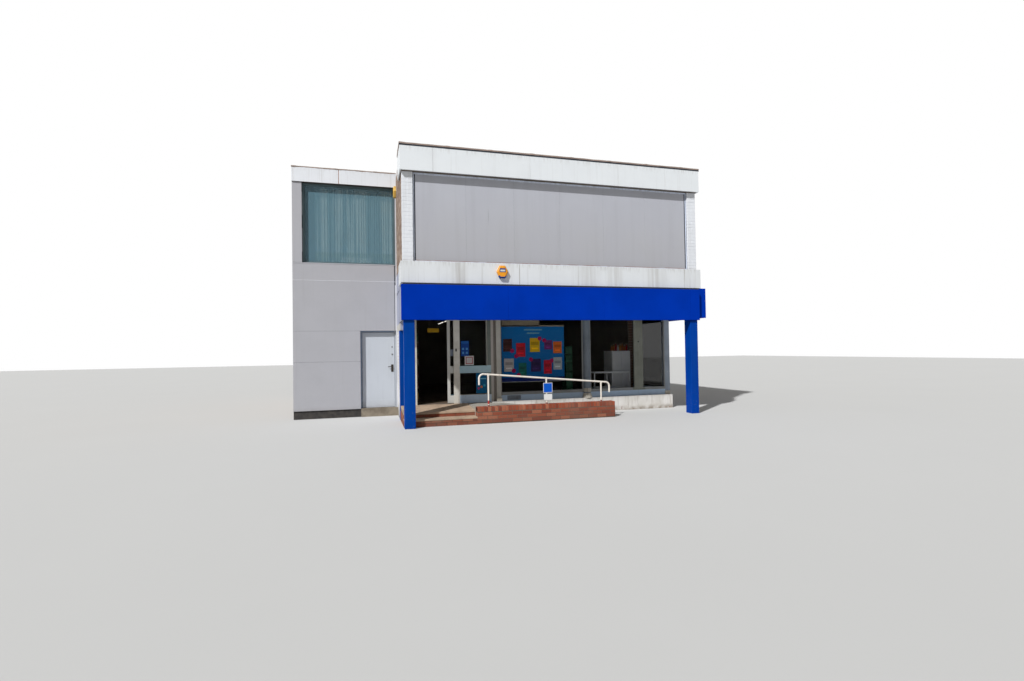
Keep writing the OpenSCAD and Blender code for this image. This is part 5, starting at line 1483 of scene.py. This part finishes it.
def alarm_boxes():
    """The banded box on the lower fascia and the plain one on the left wall."""
    shape = Shape()
    front_x, front_z, fascia_y = 2.236, 3.48, corners("mid_fascia")[0].y
    alarm_box(shape, lambda a, depth, b: (front_x + a, fascia_y - depth, front_z + b))
    side_y, side_z = corners("wing_fascia")[0].y - 0.015 - 0.135, 5.88
    alarm_box(shape, lambda a, depth, b: (-depth, side_y - a, side_z + b), 3, False)
    amber = plastic("alarm_amber", (232, 152, 22), 0.45)
    navy = plastic("alarm_blue", (18, 52, 116), 0.4)
    pale = plastic("alarm_plate", (206, 206, 202), 0.5)
    yellow = plastic("alarm_yellow", (212, 170, 76), 0.5)
    shape.make("alarm_box_covers", [amber, navy, pale, yellow], "alarm_plastic",
               replaces=["alarm_boxes"])


def interior():
    """Floor tiles and the few fittings that show through the shop's glass."""
    g = Graph("inner_slabs", 0.8)
    ceiling = g.maths("GREATER_THAN", g.z, 2.0)
    floor = g.cloud(3.0, 4.0, 0.3, 0.7, (96, 84, 74), (74, 66, 58))
    white = g.cloud(1.4, 4.0, 0.3, 0.7, (150, 148, 142), (124, 122, 116))
    g.bump(g.noise(90.0, 3.0), 0.001)
    finish_node("floor_slabs", g.finish(g.mix(ceiling, floor, white)))
    rand = random.Random(60)
    tiles = Shape()
    size, end_x, end_y = 0.33, MAIN_W - WALL_T, MAIN_D - WALL_T
    x = WALL_T + 0.004
    while x + 0.1 < end_x:
        y = GLAZING + 0.2
        while y + 0.1 < end_y:
            tiles.box((x, y, SHOP_FLOOR - 0.001),
                      (min(x + size, end_x) - 0.003, min(y + size, end_y) - 0.003,
                       SHOP_FLOOR + 0.003), 0.001, tone=rand.random())
            y += size
        x += size
    g = Graph("floor_tiles", 0.35)
    tile = g.mix(g.tone(), (92, 78, 66), (120, 104, 88))
    g.bump(g.noise(60.0, 3.0), 0.0005)
    trodden = g.span(g.noise(20.0, 4.0), 0.5, 0.7, 0.0, 0.4)
    tiles.make("shop_floor_tiles", g.finish(g.mix(trodden, tile, (70, 62, 54))), "concrete")

    enamel = paint("shelf_enamel", (236, 240, 242), streaks=0.1)
    goods = printed("plain_goods")
    rack = Shape()
    x0, x1, ya, yb, top = 5.336, 6.44, 1.72, 2.08, 1.03
    bar = 0.03
    for x, y in product((x0, (x0 + x1) / 2, x1 - bar), (ya, yb)):
        rack.box((x, y, SHOP_FLOOR), (x + bar, y + bar, top), 0.004)
    for z in (0.56, 0.99):
        for y in (ya, yb):
            rack.box((x0, y, z), (x1, y + bar, z + bar), 0.004)
        for x in (x0, x1 - bar):
            rack.box((x, ya, z), (x + bar, yb + bar, z + bar), 0.004)
    rack.box((x0, ya, 0.565), (x1, yb + bar, 0.58), 0.002)
    rack.make("window_rack", enamel, "shop_frame")

    cabinet = Shape()
    cx0, cx1, cy0, cy1, ctop = 6.132, 6.724, 2.2, 2.75, 1.605
    cabinet.box((cx0, cy0, SHOP_FLOOR + 0.06), (cx1, cy1, ctop), 0.006)
    cabinet.box((cx0 + 0.03, cy0 + 0.04, SHOP_FLOOR), (cx1 - 0.03, cy1, SHOP_FLOOR + 0.06))
    for k in range(2):
        cabinet.box((cx0 + 0.012 + 0.29 * k, cy0 - 0.018, SHOP_FLOOR + 0.09),
                    (cx0 + 0.285 + 0.29 * k, cy0, ctop - 0.03), 0.004)
    cabinet.make("white_cabinet", enamel, "shop_frame")
    bottles = Shape()
    colours = ((150, 84, 30), (164, 96, 34), (150, 30, 36), (190, 190, 186), (170, 110, 40))
    for k in range(8):
        x = cx0 + 0.05 + 0.07 * k
        h = 0.16 + 0.03 * (k % 3)
        bottles.lathe((x, cy0 + 0.12, ctop), [(0.026, 0.0), (0.028, h * 0.6), (0.011, h * 0.78),
                                             (0.011, h)], 14, ink=colours[k % 5])
        bottles.lathe((x, cy0 + 0.12, ctop + h), [(0.013, 0.0), (0.013, 0.018)], 14,
                      ink=(200, 196, 190))
    bottles.make("cabinet_bottles", goods, "banner")

    crates = Shape()
    for k in range(6):
        z = SHOP_FLOOR + 0.235 * k
        for lip, z0, z1, chamfer in ((0.0, 0.003, 0.225, 0.008), (0.008, 0.19, 0.225, 0.006),
                                     (0.008, 0.003, 0.03, 0.006)):
            crates.box((4.56 - lip, 1.9 - lip, z + z0), (4.76 + lip, 2.25 + lip, z + z1), chamfer)
    crates.make("stacked_crates", plastic("crate_green", (10, 84, 52), 0.5), "alarm_plastic")

    hung = Shape()
    ceiling_z = corners("shopfront_bulkhead")[1].z - 0.2
    for x in (0.78, 1.0):
        hung.lathe((x, 2.0, 2.28), [(0.003, 0.0), (0.003, ceiling_z - 2.28)], 8,
                   ink=(120, 120, 120))
    hung.box((0.743, 1.992, 2.176), (1.045, 2.008, 2.283), 0.003, ink=(214, 168, 40))
    tubes = Shape()
    for x, y0, y1 in ((1.325, 1.7, 2.9), (1.315, 3.08, 4.2)):
        hung.box((x - 0.03, y0, 2.512), (x + 0.03, y1, 2.54), 0.006, ink=(150, 150, 146))
        tubes.box((x - 0.009, y0 + 0.03, 2.495), (x + 0.009, y1 - 0.03, 2.5125), 0.006)
        for y in (y0 + 0.2, y1 - 0.2):
            hung.lathe((x, y, 2.538), [(0.004, 0.0), (0.004, ceiling_z - 2.538)], 8,
                       ink=(150, 150, 150))
    hung.make("hung_lamps_and_panel", goods, "banner")
    lit = plastic("lamp_tube", (240, 240, 236), 0.4)
    shader = next(n for n in lit.node_tree.nodes if n.type == "BSDF_PRINCIPLED")
    shader.inputs["Emission Color"].default_value = srgb(255, 250, 240)
    shader.inputs["Emission Strength"].default_value = 1.2
    tubes.make("shop_lamp_tubes", lit, "white_paint")

    shelves = Shape()
    for y0 in (1.62, 2.62, 3.62):
        shelves.box((WALL_T, y0, SHOP_FLOOR + 0.003), (WALL_T + 0.03, y0 + 0.95, 2.0), 0.003,
                    ink=(90, 84, 78))
        for k in range(6):
            z = SHOP_FLOOR + 0.1 + 0.29 * k
            shelves.box((WALL_T + 0.03, y0, z), (WALL_T + 0.25, y0 + 0.95, z + 0.02), 0.003,
                        ink=(118, 112, 106))
            y = y0 + 0.02
            while y < y0 + 0.86:
                w = rand.uniform(0.05, 0.1)
                colour = rand.choice(((120, 60, 40), (150, 120, 60), (60, 70, 90), (130, 130, 126),
                                      (90, 50, 60), (60, 84, 66)))
                shelves.box((WALL_T + 0.08, y, z + 0.02),
                            (WALL_T + 0.23, y + w, z + rand.uniform(0.12, 0.2)), 0.003,
                            ink=colour)
                y += w + 0.012
    shelves.make("wall_shelves", goods, "banner")


def studio():
    """Pale floor, plain world, one soft lamp from the left and the camera of the photo."""
    bpy.ops.mesh.primitive_plane_add(size=120.0)
    floor = bpy.context.object
    floor.name = "studio_floor"
    g = Graph("studio_floor", 0.9)
    pale = g.mix(g.noise(0.4), (0.57, 0.57, 0.56, 1), (0.59, 0.59, 0.58, 1))
    floor.data.materials.append(g.finish(pale))

    world = bpy.data.worlds.new("studio_world")
    bpy.context.scene.world = world
    world.use_nodes = True
    tree = world.node_tree
    background = tree.nodes["Background"]
    path = tree.nodes.new("ShaderNodeLightPath")
    seen = path.outputs["Is Camera Ray"]
    for ray in ("Is Glossy Ray", "Is Transmission Ray"):
        both = tree.nodes.new("ShaderNodeMath")
        both.operation = "MAXIMUM"
        tree.links.new(seen, both.inputs[0])
        tree.links.new(path.outputs[ray], both.inputs[1])
        seen = both.outputs[0]
    background.inputs["Color"].default_value = (1, 1, 1, 1)
    strength = tree.nodes.new("ShaderNodeMapRange")
    strength.inputs["To Min"].default_value = WORLD_LIGHT
    strength.inputs["To Max"].default_value = 1.0
    tree.links.new(seen, strength.inputs["Value"])
    tree.links.new(strength.outputs[0], background.inputs["Strength"])

    lamp = bpy.data.lights.new("soft_sun", "SUN")
    lamp.energy = SUN_ENERGY
    lamp.angle = math.radians(SUN_SIZE)
    holder = bpy.data.objects.new("soft_sun", lamp)
    side, height = math.radians(SUN_SIDE), math.radians(SUN_HEIGHT)
    towards = Vector((-math.sin(side) * math.cos(height), -math.cos(side) * math.cos(height),
                      math.sin(height)))
    holder.rotation_euler = towards.to_track_quat("Z", "Y").to_euler()
    bpy.context.scene.collection.objects.link(holder)

    camera = bpy.data.cameras.new("photo_camera")
    camera.lens = CAMERA_LENS
    camera.sensor_width = 36.0
    eye = bpy.data.objects.new("photo_camera", camera)
    yaw, pitch, roll = (math.radians(angle) for angle in CAMERA_TURN)
    ahead = Vector((math.sin(yaw) * math.cos(pitch), math.cos(yaw) * math.cos(pitch),
                    math.sin(pitch)))
    level = Vector((math.cos(yaw), -math.sin(yaw), 0))
    upright = level.cross(ahead)
    right = level * math.cos(roll) + upright * math.sin(roll)
    up = upright * math.cos(roll) - level * math.sin(roll)
    eye.matrix_world = Matrix.Translation(CORNER + Vector(CAMERA_PLACE)) @ Matrix(
        (right, up, -ahead)).transposed().to_4x4()
    bpy.context.scene.collection.objects.link(eye)
    bpy.context.scene.camera = eye
    bpy.context.scene.view_settings.view_transform = "Standard"


brick_walls()
roofs()
upper_front()
signs()
canopy()
shopfront()
prints()
entrance()
wing()
curtain()
windows()
alarm_boxes()
interior()
studio()
